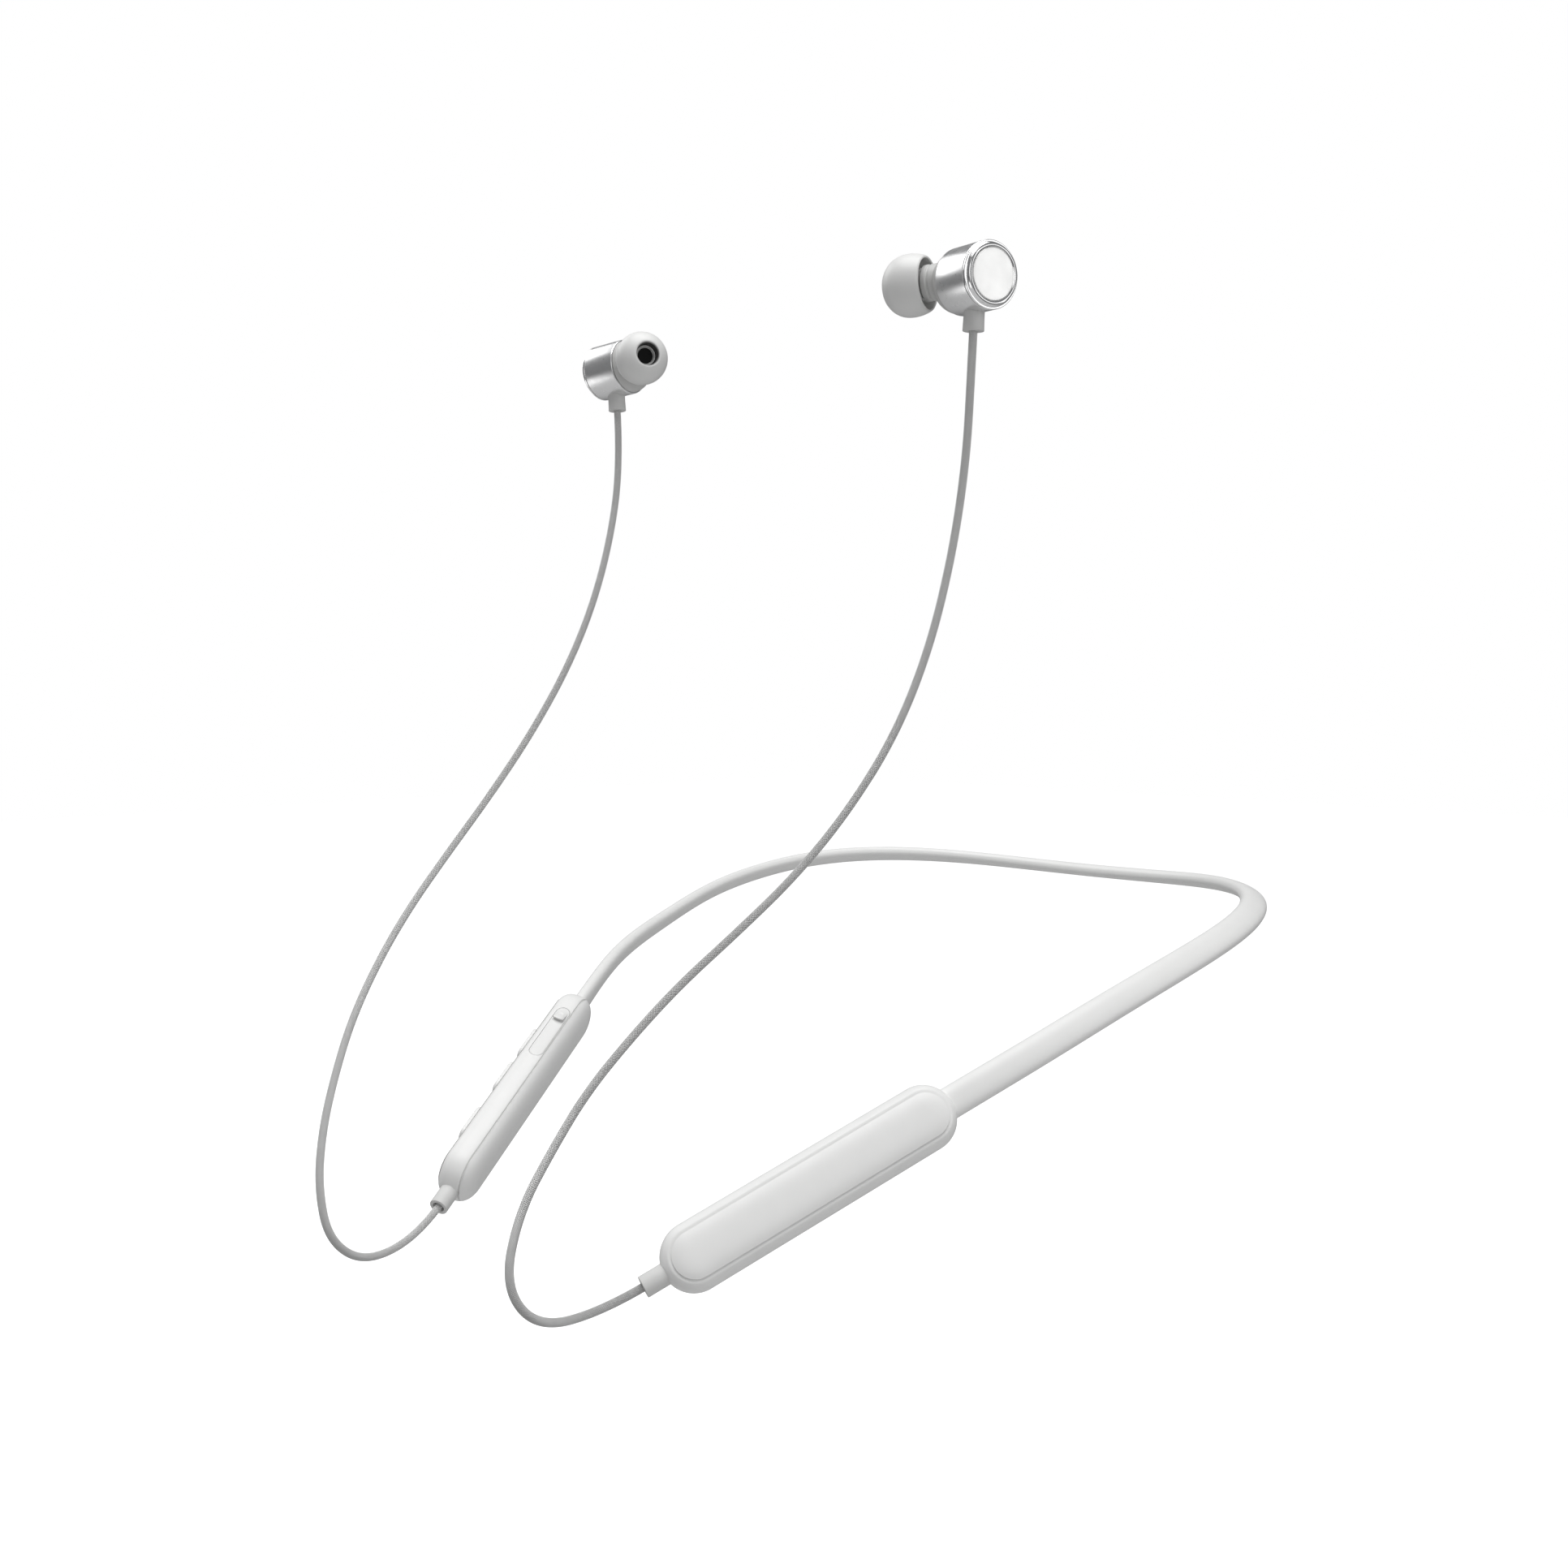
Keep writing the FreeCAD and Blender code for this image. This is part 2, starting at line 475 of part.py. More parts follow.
def earbud_parts(side):
    radius = HOUSING_RADIUS
    bore = radius - HOUSING_WALL
    back, front = HOUSING_BACK, HOUSING_FRONT
    nozzle = nozzle_frame(side)
    cord_hole = Part.makeCylinder(1.5, radius, V(0, 0, -radius - 0.5), V(0, 0, 1))
    parts = {}
    parts["housing"] = turned((back, bore), (back, radius - 0.12), (back + 0.12, radius),
                              (front - 0.3, radius), (front, radius - 0.3),
                              (front, bore)).cut(cord_hole)
    parts["rear_ring"] = turned((back + 1.2, bore - 0.7), (back + 1.2, bore), (back, bore),
                                (back, radius - 0.3), (back - 0.15, radius - 0.3),
                                (back - 0.15, radius - 0.1),
                                [(back - 0.35, radius), (back - 0.6, radius - 0.15)],
                                [(back - 0.62, radius - 0.5), (back - 0.8, radius - 0.85)],
                                (back - 0.95, radius - 0.9),
                                [(back - 1.25, radius - 1.1), (back - 1.3, radius - 1.45)],
                                (back - 1.2, radius - 1.6), (back - 0.6, radius - 1.6),
                                (back - 0.6, bore - 0.7))
    plate_radius = radius - 1.6
    parts["rear_plate"] = turned((back - 0.6, 0), (back - 0.6, plate_radius),
                                 (back - 1.25, plate_radius), (back - 1.35, plate_radius - 0.15),
                                 (back - 1.35, 0))
    dome = turned((front - 1.0, 0), (front - 1.0, bore), (front, bore), (front, radius - 0.35),
                  [(front + 1.3, 5.65), (front + 2.6, 4.85), (front + 3.6, 3.8),
                   (front + 4.3, 2.2)], (front + 4.5, 0))
    collar = turned((1.0, 0), (1.0, COLLAR_RADIUS), (COLLAR_END - 0.2, COLLAR_RADIUS),
                    (COLLAR_END, COLLAR_RADIUS - 0.2), (COLLAR_END, NOZZLE_RADIUS),
                    (NOZZLE_END - 0.2, NOZZLE_RADIUS), (NOZZLE_END, NOZZLE_RADIUS - 0.2),
                    (NOZZLE_END, 0))
    chamber = turned((front - 1.5, 0), (front - 1.5, bore - 0.9), (front + 1.6, bore - 1.3),
                     (front + 2.6, 2.2), (front + 2.6, 0))
    mesh_seat = NOZZLE_END - 0.6
    passage = rod(NOZZLE_BORE - 0.25, 0.5, NOZZLE_END).fuse(rod(NOZZLE_BORE, mesh_seat,
                                                                NOZZLE_END + 1.0))
    parts["front_shell"] = dome.fuse(placed(collar, nozzle)).cut([chamber, placed(passage, nozzle)])
    parts["nozzle_mesh"] = placed(rod(NOZZLE_BORE, mesh_seat, mesh_seat + 0.2), nozzle)
    parts["ear_tip"] = placed(ear_tip(), nozzle)

    driver_back = front - 5.1
    driver_front = front - 1.1
    parts["driver_frame"] = turned((driver_back, 3.3), (driver_back, 4.4), (driver_front - 1.2, 4.4),
                                   (driver_front - 1.2, bore - 0.1), (driver_front, bore - 0.1),
                                   (driver_front, 4.5), (driver_front - 0.7, 4.5),
                                   (driver_front - 0.7, 3.9), (driver_back + 0.6, 3.9),
                                   (driver_back + 0.6, 3.3))
    parts["driver_magnet"] = rod(3.3, driver_back, driver_back + 2.2)
    parts["driver_diaphragm"] = turned((driver_front - 0.7, 0), (driver_front - 0.7, 4.5),
                                       (driver_front - 0.6, 4.5), (driver_front - 0.45, 3.4),
                                       (driver_front - 0.55, 2.4), (driver_front - 0.2, 0))
    drop = CORD_DROP
    collar_wire = Part.makeCylinder(BUD_RELIEF_RADIUS, drop - 5.0, V(0, 0, -drop), V(0, 0, 1))
    outside = collar_wire.cut(rod(radius, -6, 6))
    neck = Part.makeCylinder(1.5, 2.0, V(0, 0, -radius - 0.6), V(0, 0, 1))
    flange = Part.makeCylinder(1.9, 0.6, V(0, 0, -bore + 0.36), V(0, 0, 1))
    mouth = Part.makeCylinder(CORD_DIAMETER / 2 + 0.03, RELIEF_MOUTH_DEPTH, V(0, 0, -drop),
                              V(0, 0, 1))
    parts["relief"] = outside.fuse([neck, flange]).removeSplitter().cut(mouth)
    return {f"{side}_{name}": shape for name, shape in parts.items()}


# ---- Cords ----------------------------------------------------------------------------------
def cord_route(side):
    """The route's corner points: straight out of the earbud, and straight into the pod."""
    bud_seat = V(0, 0, -CORD_DROP + RELIEF_MOUTH_DEPTH)
    pod_seat = V(-POD_LENGTH / 2 - POD_RELIEF_LENGTH + RELIEF_MOUTH_DEPTH, 0, 0)
    start = [bud_frame(side).multVec(point) for point in (bud_seat, bud_seat - V(0, 0, CORD_END_RUN))]
    end = [pod_frame(side).multVec(point) for point in (pod_seat - V(CORD_END_RUN, 0, 0), pod_seat)]
    return start + CORD_ROUTES[side] + end


def cord_solid(side):
    """A round tube along straight runs joined by tangent arcs."""
    points = cord_route(side)
    edges = []
    radii = []
    here = points[0]
    for before, corner, after in zip(points, points[1:], points[2:]):
        coming = (corner - before).normalize()
        going = (after - corner).normalize()
        reach = ARC_SHARE * min((corner - before).Length, (after - corner).Length)
        turn = coming.getAngle(going)
        radii.append(reach / math.tan(turn / 2))
        start = corner - coming * reach
        end = corner + going * reach
        to_centre = (going - coming).normalize()
        middle = corner + to_centre * (radii[-1] / math.cos(turn / 2) - radii[-1])
        edges.append(Part.LineSegment(here, start).toShape())
        edges.append(Part.Arc(start, middle, end).toShape())
        here = end
    edges.append(Part.LineSegment(here, points[-1]).toShape())
    path = Part.Wire(edges)
    first = (points[1] - points[0]).normalize()
    section = Part.Wire([Part.Circle(points[0], first, CORD_DIAMETER / 2).toShape()])
    tube = path.makePipeShell([section], True, False)
    expected = math.pi * (CORD_DIAMETER / 2) ** 2 * path.Length
    print(f"{side} cord: length {path.Length:.1f}, volume {tube.Volume:.2f} of {expected:.2f}, radii",
          " ".join(f"{radius:.1f}" for radius in radii))
    return tube


# ---- Assembly -------------------------------------------------------------------------------
def all_parts():
    parts = dict(band_parts())
    for name, shape in battery_pod_parts().items():
        parts[name] = placed(shape, pod_frame("left"))
    for name, shape in control_pod_parts().items():
        parts[name] = placed(shape, pod_frame("right"))
    for side in ("left", "right"):
        for name, shape in earbud_parts(side).items():
            parts[name] = placed(shape, bud_frame(side))
        parts[f"{side}_cord"] = cord_solid(side)
    return parts


def main():
    os.makedirs("parts", exist_ok=True)
    for name, shape in all_parts().items():
        if not shape.isValid() or shape.Volume <= 0:
            print("not a sound solid:", name)
        shape.exportStep(f"parts/{name}.step")
        print(f"{name}: {len(shape.Solids)} solid, {shape.Volume:.1f} mm3")


main()
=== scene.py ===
"""Neckband earphones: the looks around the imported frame.

The scene is in metres, and the numbers below are in millimetres unless they say otherwise.
+Z is up and the wearer faces -Y, so the wearer's left is at +X.
"""
import json
import math

import bmesh
import bpy
import numpy as np
from mathutils import Matrix, Vector


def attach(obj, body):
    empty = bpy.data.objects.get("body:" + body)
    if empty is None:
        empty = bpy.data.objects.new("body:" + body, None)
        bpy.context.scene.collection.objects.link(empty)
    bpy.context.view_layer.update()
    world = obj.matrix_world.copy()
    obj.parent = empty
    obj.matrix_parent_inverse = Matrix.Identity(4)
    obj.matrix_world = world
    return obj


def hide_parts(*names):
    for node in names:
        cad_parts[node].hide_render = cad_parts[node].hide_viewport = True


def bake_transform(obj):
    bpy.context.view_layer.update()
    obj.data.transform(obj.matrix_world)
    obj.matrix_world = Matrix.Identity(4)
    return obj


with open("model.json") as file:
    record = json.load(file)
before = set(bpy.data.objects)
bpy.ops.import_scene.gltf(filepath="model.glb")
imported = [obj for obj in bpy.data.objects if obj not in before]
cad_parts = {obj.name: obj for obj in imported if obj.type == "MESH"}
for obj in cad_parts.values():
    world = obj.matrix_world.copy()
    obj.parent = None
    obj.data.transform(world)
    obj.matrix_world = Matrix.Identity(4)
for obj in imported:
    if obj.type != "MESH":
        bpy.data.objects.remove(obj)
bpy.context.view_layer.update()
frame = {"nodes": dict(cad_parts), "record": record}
NODES = frame["nodes"]
MM = 0.001
SIGN = {"left": 1.0, "right": -1.0}  # of X on each side


# ---- Camera, light and floor ----
IMAGE_SIDE, FOCAL_LENGTH = 1932.0, 1860.0  # in pixels of the whole frame
SENSOR_WIDTH = 36.0
CAMERA_PLACE = (231.0, -349.6, 49.7)
CAMERA_AZIMUTH, CAMERA_PITCH = -45.0, -3.63
FLOOR_LEVEL, FLOOR_SIDE = -0.30, 8.0  # metres
FLOOR_GREY = (0.60, 0.60, 0.60, 1)
ROOM_COLOUR, ROOM_STRENGTH = (0.97, 0.98, 1.0, 1), 0.19

# Each light's place, the point that it faces, its width and height in metres, and its power in
# watts. The fill lights the rear plate that faces the camera, and the bounce lights undersides.
LIGHTS = {
    "top": ((0.10, -0.25, 0.95), (0.0, -0.1, 0.0), (0.8, 0.8), 8.6),
    "side": ((-0.90, -0.26, 0.68), (0.0, -0.12, 0.08), (0.76, 0.58), 2.8),
    "front": ((0.85, -0.70, 0.25), (0.0, -0.1, 0.0), (0.8, 0.6), 1.8),
    "fill": ((0.83, 0.21, 0.245), (0.05, -0.12, 0.1), (0.6, 0.6), 1.2),
    "bounce": ((-0.50, -0.48, -0.26), (-0.05, -0.12, 0.12), (0.4, 0.3), 0.40),
}


def add_camera():
    data = bpy.data.cameras.new("camera")
    data.sensor_width = SENSOR_WIDTH
    data.lens = SENSOR_WIDTH * FOCAL_LENGTH / IMAGE_SIDE
    data.clip_start = 0.01
    camera = bpy.data.objects.new("camera", data)
    bpy.context.scene.collection.objects.link(camera)
    azimuth, pitch = math.radians(CAMERA_AZIMUTH), math.radians(CAMERA_PITCH)
    forward = Vector((math.sin(azimuth) * math.cos(pitch), math.cos(azimuth) * math.cos(pitch),
                      math.sin(pitch)))
    camera.location = Vector(CAMERA_PLACE) * MM
    camera.rotation_euler = forward.to_track_quat("-Z", "Y").to_euler()
    bpy.context.scene.camera = camera


def add_lights():
    for name, (place, aim, size, power) in LIGHTS.items():
        data = bpy.data.lights.new(name, "AREA")
        data.shape = "RECTANGLE"
        data.size, data.size_y = size
        data.energy = power
        light = bpy.data.objects.new(name, data)
        light.location = place
        light.rotation_euler = (Vector(aim) - Vector(place)).to_track_quat("-Z", "Y").to_euler()
        bpy.context.scene.collection.objects.link(light)


def show_camera(tree, output_kind, others_see, camera_sees):
    """Ends a node tree with one shader for the camera's rays and another for all the rest."""
    output = tree.nodes.new(output_kind)
    path = tree.nodes.new("ShaderNodeLightPath")
    mix = tree.nodes.new("ShaderNodeMixShader")
    tree.links.new(path.outputs["Is Camera Ray"], mix.inputs["Fac"])
    tree.links.new(others_see.outputs[0], mix.inputs[1])
    tree.links.new(camera_sees.outputs[0], mix.inputs[2])
    tree.links.new(mix.outputs[0], output.inputs["Surface"])


def add_world():
    """A dim room that the camera sees as plain white."""
    world = bpy.data.worlds.new("studio")
    bpy.context.scene.world = world
    world.use_nodes = True
    nodes = world.node_tree.nodes
    nodes.clear()
    seen = nodes.new("ShaderNodeBackground")
    seen.inputs["Color"].default_value = (1, 1, 1, 1)
    room = nodes.new("ShaderNodeBackground")
    room.inputs["Color"].default_value = ROOM_COLOUR
    room.inputs["Strength"].default_value = ROOM_STRENGTH
    show_camera(world.node_tree, "ShaderNodeOutputWorld", room, seen)


def add_floor():
    """A pale matt floor, with a glow that only the camera sees and that lights nothing."""
    bpy.ops.mesh.primitive_grid_add(x_subdivisions=4, y_subdivisions=4, size=FLOOR_SIDE,
                                    location=(0, 0, FLOOR_LEVEL))
    floor = bpy.context.object
    floor.name = "studio_floor"
    material = bpy.data.materials.new("studio_floor")
    material.use_nodes = True
    nodes, links = material.node_tree.nodes, material.node_tree.links
    nodes.clear()
    matte = nodes.new("ShaderNodeBsdfDiffuse")
    matte.inputs["Color"].default_value = FLOOR_GREY
    glow = nodes.new("ShaderNodeEmission")
    glow.inputs["Strength"].default_value = 1.0
    both = nodes.new("ShaderNodeAddShader")
    links.new(matte.outputs[0], both.inputs[0])
    links.new(glow.outputs[0], both.inputs[1])
    show_camera(material.node_tree, "ShaderNodeOutputMaterial", matte, both)
    material.cycles.emission_sampling = "NONE"
    floor.data.materials.append(material)


bpy.context.scene.view_settings.view_transform = "Standard"
add_camera()
add_world()
add_floor()
add_lights()


# ---- Materials ----
# Most values of a noise texture lie in this range.
NOISE_LOW, NOISE_HIGH = 0.3, 0.7

# Moulded finishes: colour, roughness, depth of the grain, grains per millimetre, and metallic.
MOULDED = {
    "white_plastic": ((0.83, 0.83, 0.82), 0.44, 0.0035, 4.0, 0.0),
    "band_silicone": ((0.80, 0.80, 0.79), 0.42, 0.0030, 4.0, 0.0),
    "relief_rubber": ((0.66, 0.66, 0.65), 0.55, 0.010, 5.0, 0.0),
    "shell_plastic": ((0.60, 0.60, 0.59), 0.46, 0.004, 4.0, 0.0),
    "plate_plastic": ((0.93, 0.93, 0.92), 0.34, 0.0015, 6.0, 0.85),
    "cable_jacket": ((0.60, 0.60, 0.60), 0.55, 0.008, 4.0, 0.0),
    "driver_plastic": ((0.05, 0.05, 0.05), 0.5, 0.006, 4.0, 0.0),
}
STEEL = {
    "steel_can": ((0.62, 0.62, 0.61), 0.32),
    "switch_metal": ((0.58, 0.56, 0.50), 0.36),
    "magnet": ((0.50, 0.50, 0.52), 0.25),
}
# Painted shade: a tip's bore is painted darker between these radii, down to this share of the
# tip's colour, for the shade deep inside it.
BORE_EDGE, BORE_PAINTED_SHADE = (2.45, 2.85), 0.06


class Shader:
    """A Principled material and short ways to add nodes to it."""

    def __init__(self, name, colour, roughness, **inputs):
        self.material = bpy.data.materials.new(name)
        self.material.use_nodes = True
        self.tree = self.material.node_tree
        self.bsdf = self.tree.nodes["Principled BSDF"]
        self.set(self.bsdf, {"Base Color": (*colour, 1.0), "Roughness": roughness})
        self.set(self.bsdf, {key.replace("_", " "): value for key, value in inputs.items()})
        self.material.diffuse_color = (*colour, 1.0)
        self.colour = colour

    def set(self, node, inputs):
        for key, value in inputs.items():
            socket = node.inputs[key]
            if isinstance(value, bpy.types.NodeSocket):
                self.tree.links.new(value, socket)
            else:
                socket.default_value = value

    def add(self, kind, inputs=None, **settings):
        node = self.tree.nodes.new("ShaderNode" + kind)
        for key, value in settings.items():
            setattr(node, key, value)
        self.set(node, inputs or {})
        return node

    def math(self, operation, *values):
        node = self.add("Math", operation=operation)
        self.set(node, dict(enumerate(values)))
        return node.outputs[0]

    def local(self):
        """The point on the piece, in millimetres in the frame that it was drawn in."""
        return self.add("Attribute", attribute_name="local").outputs["Vector"]

    def object_mm(self):
        """The point in the object's own coordinates, in millimetres."""
        coordinates = self.add("TexCoord").outputs["Object"]
        return self.add("VectorMath", {0: coordinates, 1: (1000.0, 1000.0, 1000.0)},
                        operation="MULTIPLY").outputs[0]

    def from_axis(self):
        """The distance from the axis that the piece was turned about, in millimetres."""
        split = self.add("SeparateXYZ", {0: self.local()})
        return self.math("SQRT", self.math("ADD", self.math("POWER", split.outputs["Y"], 2.0),
                                           self.math("POWER", split.outputs["Z"], 2.0)))

    def noise(self, scale, vector=None, detail=3.0):
        vector = vector or self.object_mm()
        return self.add("TexNoise", {"Vector": vector, "Scale": scale,
                                     "Detail": detail}).outputs["Fac"]

    def ramp(self, value, low, high, out_low, out_high):
        return self.add("MapRange", {"Value": value, "From Min": low, "From Max": high,
                                     "To Min": out_low, "To Max": out_high}).outputs[0]

    def scale_colour(self, factor):
        mixed = self.add("VectorMath", {0: self.colour, "Scale": factor}, operation="SCALE")
        self.set(self.bsdf, {"Base Color": mixed.outputs[0]})

    def tint(self, amount, dark, light):
        """Base colour times a factor that runs from dark to light with the amount."""
        self.scale_colour(self.ramp(amount, NOISE_LOW, NOISE_HIGH, dark, light))

    def rough(self, amount, low, high):
        self.set(self.bsdf, {"Roughness": self.ramp(amount, NOISE_LOW, NOISE_HIGH, low, high)})

    def bump(self, height, depth):
        node = self.add("Bump", {"Height": height, "Distance": depth * MM, "Strength": 1.0})
        self.set(self.bsdf, {"Normal": node.outputs[0]})


def moulded(name, colour, roughness, grain, grain_scale, metallic):
    """A moulded surface: fine spark-eroded grain, a slow change of gloss and faint mottling."""
    shader = Shader(name, colour, roughness, Metallic=metallic)
    shader.bump(shader.noise(grain_scale, detail=2.0), grain)
    shader.rough(shader.noise(0.35), roughness - 0.04, roughness + 0.05)
    shader.tint(shader.noise(0.22, detail=2.0), 0.985, 1.0)
    return shader.material


def tip_silicone():
    """Soft silicone, with painted shade inside the bore where little light gets in."""
    shader = Shader("tip_silicone", (0.74, 0.74, 0.73), 0.42)
    shader.bump(shader.noise(4.0, detail=2.0), 0.0015)
    shader.rough(shader.noise(0.35), 0.38, 0.47)
    # Painted shade: the colour darkens towards the axis inside the bore.
    shader.scale_colour(shader.ramp(shader.from_axis(), *BORE_EDGE, BORE_PAINTED_SHADE, 1.0))
    return shader.material


def brushed_steel(name, colour, roughness):
    """Bare metal with fine marks drawn out along X."""
    shader = Shader(name, colour, roughness, Metallic=1.0)
    stretched = shader.add("VectorMath", {0: shader.object_mm(), 1: (1.0, 12.0, 12.0)},
                           operation="MULTIPLY")
    shader.bump(shader.noise(1.0, stretched.outputs[0]), 0.01)
    shader.rough(shader.noise(0.9), roughness - 0.06, roughness + 0.08)
    return shader.material


def make_materials():
    mats = {"tip_silicone": tip_silicone()}
    for name, values in MOULDED.items():
        mats[name] = moulded(name, *values)

    metal = Shader("housing_metal", (0.86, 0.86, 0.86), 0.30, Metallic=1.0)
    metal.bump(metal.noise(6.0, detail=1.0), 0.0006)
    metal.rough(metal.noise(1.2), 0.27, 0.33)
    mats["housing_metal"] = metal.material

    # The ring has the fine concentric marks of turning.
    ring = Shader("ring_metal", (0.92, 0.92, 0.92), 0.12, Metallic=1.0)
    ring.bump(ring.math("SINE", ring.math("MULTIPLY", ring.from_axis(), 160.0)), 0.0001)
    ring.rough(ring.noise(1.5), 0.09, 0.16)
    mats["ring_metal"] = ring.material

    mesh = Shader("mesh_metal", (0.12, 0.12, 0.12), 0.4, Metallic=1.0)
    spots = mesh.add("TexVoronoi", {"Vector": mesh.local(), "Scale": 5.0, "Randomness": 0.0})
    holes = mesh.ramp(spots.outputs["Distance"], 0.25, 0.4, 0.0, 1.0)
    mesh.tint(holes, 0.1, 1.0)
    mesh.bump(holes, 0.05)
    mats["mesh_metal"] = mesh.material

    wire = Shader("spring_wire", (0.55, 0.55, 0.56), 0.3, Metallic=1.0)
    wire.bump(wire.noise(12.0), 0.01)
    mats["spring_wire"] = wire.material

    # A strand's own fibres run along it: its local Y is the way across the strand.
    braid = Shader("cord_braid", (0.86, 0.86, 0.85), 0.62, Sheen_Weight=0.25)
    across = braid.add("SeparateXYZ", {0: braid.local()})
    fibres = braid.math("SINE", braid.math("MULTIPLY", across.outputs["Y"], 44.0))
    braid.bump(fibres, 0.012)
    braid.tint(braid.noise(2.2, detail=4.0), 0.84, 1.08)
    mats["cord_braid"] = braid.material

    core = Shader("cord_core", (0.28, 0.28, 0.28), 0.8)
    core.tint(core.noise(3.0), 0.8, 1.1)
    mats["cord_core"] = core.material

    foil = Shader("cell_foil", (0.70, 0.71, 0.72), 0.32, Metallic=0.9)
    foil.bump(foil.noise(0.8, detail=5.0), 0.08)
    mats["cell_foil"] = foil.material

    foam = Shader("foam", (0.05, 0.05, 0.05), 0.95)
    cells = foam.add("TexVoronoi", {"Vector": foam.object_mm(), "Scale": 4.0})
    foam.bump(cells.outputs["Distance"], 0.15)
    foam.tint(cells.outputs["Distance"], 0.5, 1.4)
    mats["foam"] = foam.material

    board = Shader("board", (0.02, 0.16, 0.07), 0.35)
    tracks = board.add("TexBrick", {"Vector": board.object_mm(), "Color1": (0.02, 0.15, 0.06, 1),
                                    "Color2": (0.02, 0.18, 0.08, 1),
                                    "Mortar": (0.06, 0.30, 0.13, 1), "Scale": 0.5,
                                    "Mortar Size": 0.03, "Brick Width": 1.1,
                                    "Row Height": 0.4})
    board.set(board.bsdf, {"Base Color": tracks.outputs["Color"]})
    board.bump(tracks.outputs["Fac"], 0.02)
    mats["board"] = board.material

    for name, (colour, roughness) in STEEL.items():
        mats[name] = brushed_steel(name, colour, roughness)

    film = Shader("film", (0.62, 0.55, 0.36), 0.18, Transmission_Weight=0.3)
    film.bump(film.noise(2.5), 0.02)
    mats["film"] = film.material
    return mats


MATS = make_materials()


# ---- Mesh helpers ----
SHARP_ANGLE = 32.0  # degrees


def placement(origin, along, up):
    """A frame at the origin with X along the first direction and Z near the second."""
    x = Vector(along).normalized()
    up = Vector(up)
    z = (up - x * up.dot(x)).normalized()
    y = z.cross(x)
    turn = Matrix((x, y, z)).transposed().to_4x4()
    return Matrix.Translation(Vector(origin)) @ turn


def linked_piece(name, data, material):
    """An object in the scene for a mesh, with its material."""
    data.materials.append(MATS[material])
    piece = bpy.data.objects.new(name, data)
    bpy.context.scene.collection.objects.link(piece)
    return piece


def keep_local(data, local):
    """Stores each point's local place, which the materials read."""
    kept = data.attributes.new("local", "FLOAT_VECTOR", "POINT")
    kept.data.foreach_set("vector", np.asarray(local, np.float32).ravel())


def mesh_piece(name, points, faces, place, material, sharp=SHARP_ANGLE, local=None):
    """A smooth mesh from points in a piece's frame, with edges above the sharp angle kept."""
    data = bpy.data.meshes.new(name)
    points = np.asarray(points, float)
    data.from_pydata([tuple(p) for p in points], [], faces)
    keep_local(data, points if local is None else local)
    work = bmesh.new()
    work.from_mesh(data)
    bmesh.ops.remove_doubles(work, verts=work.verts, dist=1e-4)
    bmesh.ops.recalc_face_normals(work, faces=work.faces)
    work.to_mesh(data)
    work.free()
    data.transform(Matrix.Diagonal((MM, MM, MM, 1.0)) @ place)
    data.shade_smooth()
    data.set_sharp_from_angle(angle=math.radians(sharp))
    return linked_piece(name, data, material)


def large_mesh_piece(name, points, faces, local, material):
    """A large mesh in the scene's frame, without the merging and sorting of smaller ones."""
    data = bpy.data.meshes.new(name)
    data.from_pydata((points * MM).tolist(), [], faces)
    keep_local(data, local)
    data.shade_smooth()
    return linked_piece(name, data, material)


def grid_faces(rows, columns, wrap_rows=False, wrap_columns=False):
    """Quads of a grid of points, stored row after row."""
    faces = []
    for i in range(rows if wrap_rows else rows - 1):
        for j in range(columns if wrap_columns else columns - 1):
            i2, j2 = (i + 1) % rows, (j + 1) % columns
            faces.append((i * columns + j, i * columns + j2, i2 * columns + j2,
                          i2 * columns + j))
    return faces


def rounded(corners, closed=True, steps=5):
    """An outline with rounded corners: each corner is (along, out) or (along, out, radius)."""
    outline = []
    for i, corner in enumerate(corners):
        here = np.array(corner[:2], float)
        radius = corner[2] if len(corner) > 2 else 0.0
        if radius == 0.0 or (not closed and i in (0, len(corners) - 1)):
            outline.append(here)
            continue
        back = np.array(corners[i - 1][:2], float) - here
        onward = np.array(corners[(i + 1) % len(corners)][:2], float) - here
        back_length, onward_length = np.linalg.norm(back), np.linalg.norm(onward)
        back, onward = back / back_length, onward / onward_length
        half = math.acos(np.clip(back @ onward, -1, 1)) / 2
        reach = min(radius / math.tan(half), 0.49 * back_length, 0.49 * onward_length)
        start, end = here + back * reach, here + onward * reach
        weight = 1.0 / max(math.sin(half), 1e-6)
        for k in range(steps + 1):
            t = k / steps
            blend = np.array([(1 - t) ** 2, 2 * t * (1 - t) / weight, t ** 2])
            outline.append((blend[0] * start + blend[1] * here + blend[2] * end) / blend.sum())
    return np.array(outline)


def half_turns(count):
    """The angles round the two half-round ends of a long loop, and the end each belongs to."""
    right = [(-math.pi / 2 + math.pi * k / count, 1.0) for k in range(count + 1)]
    left = [(math.pi / 2 + math.pi * k / count, -1.0) for k in range(count + 1)]
    return right, left


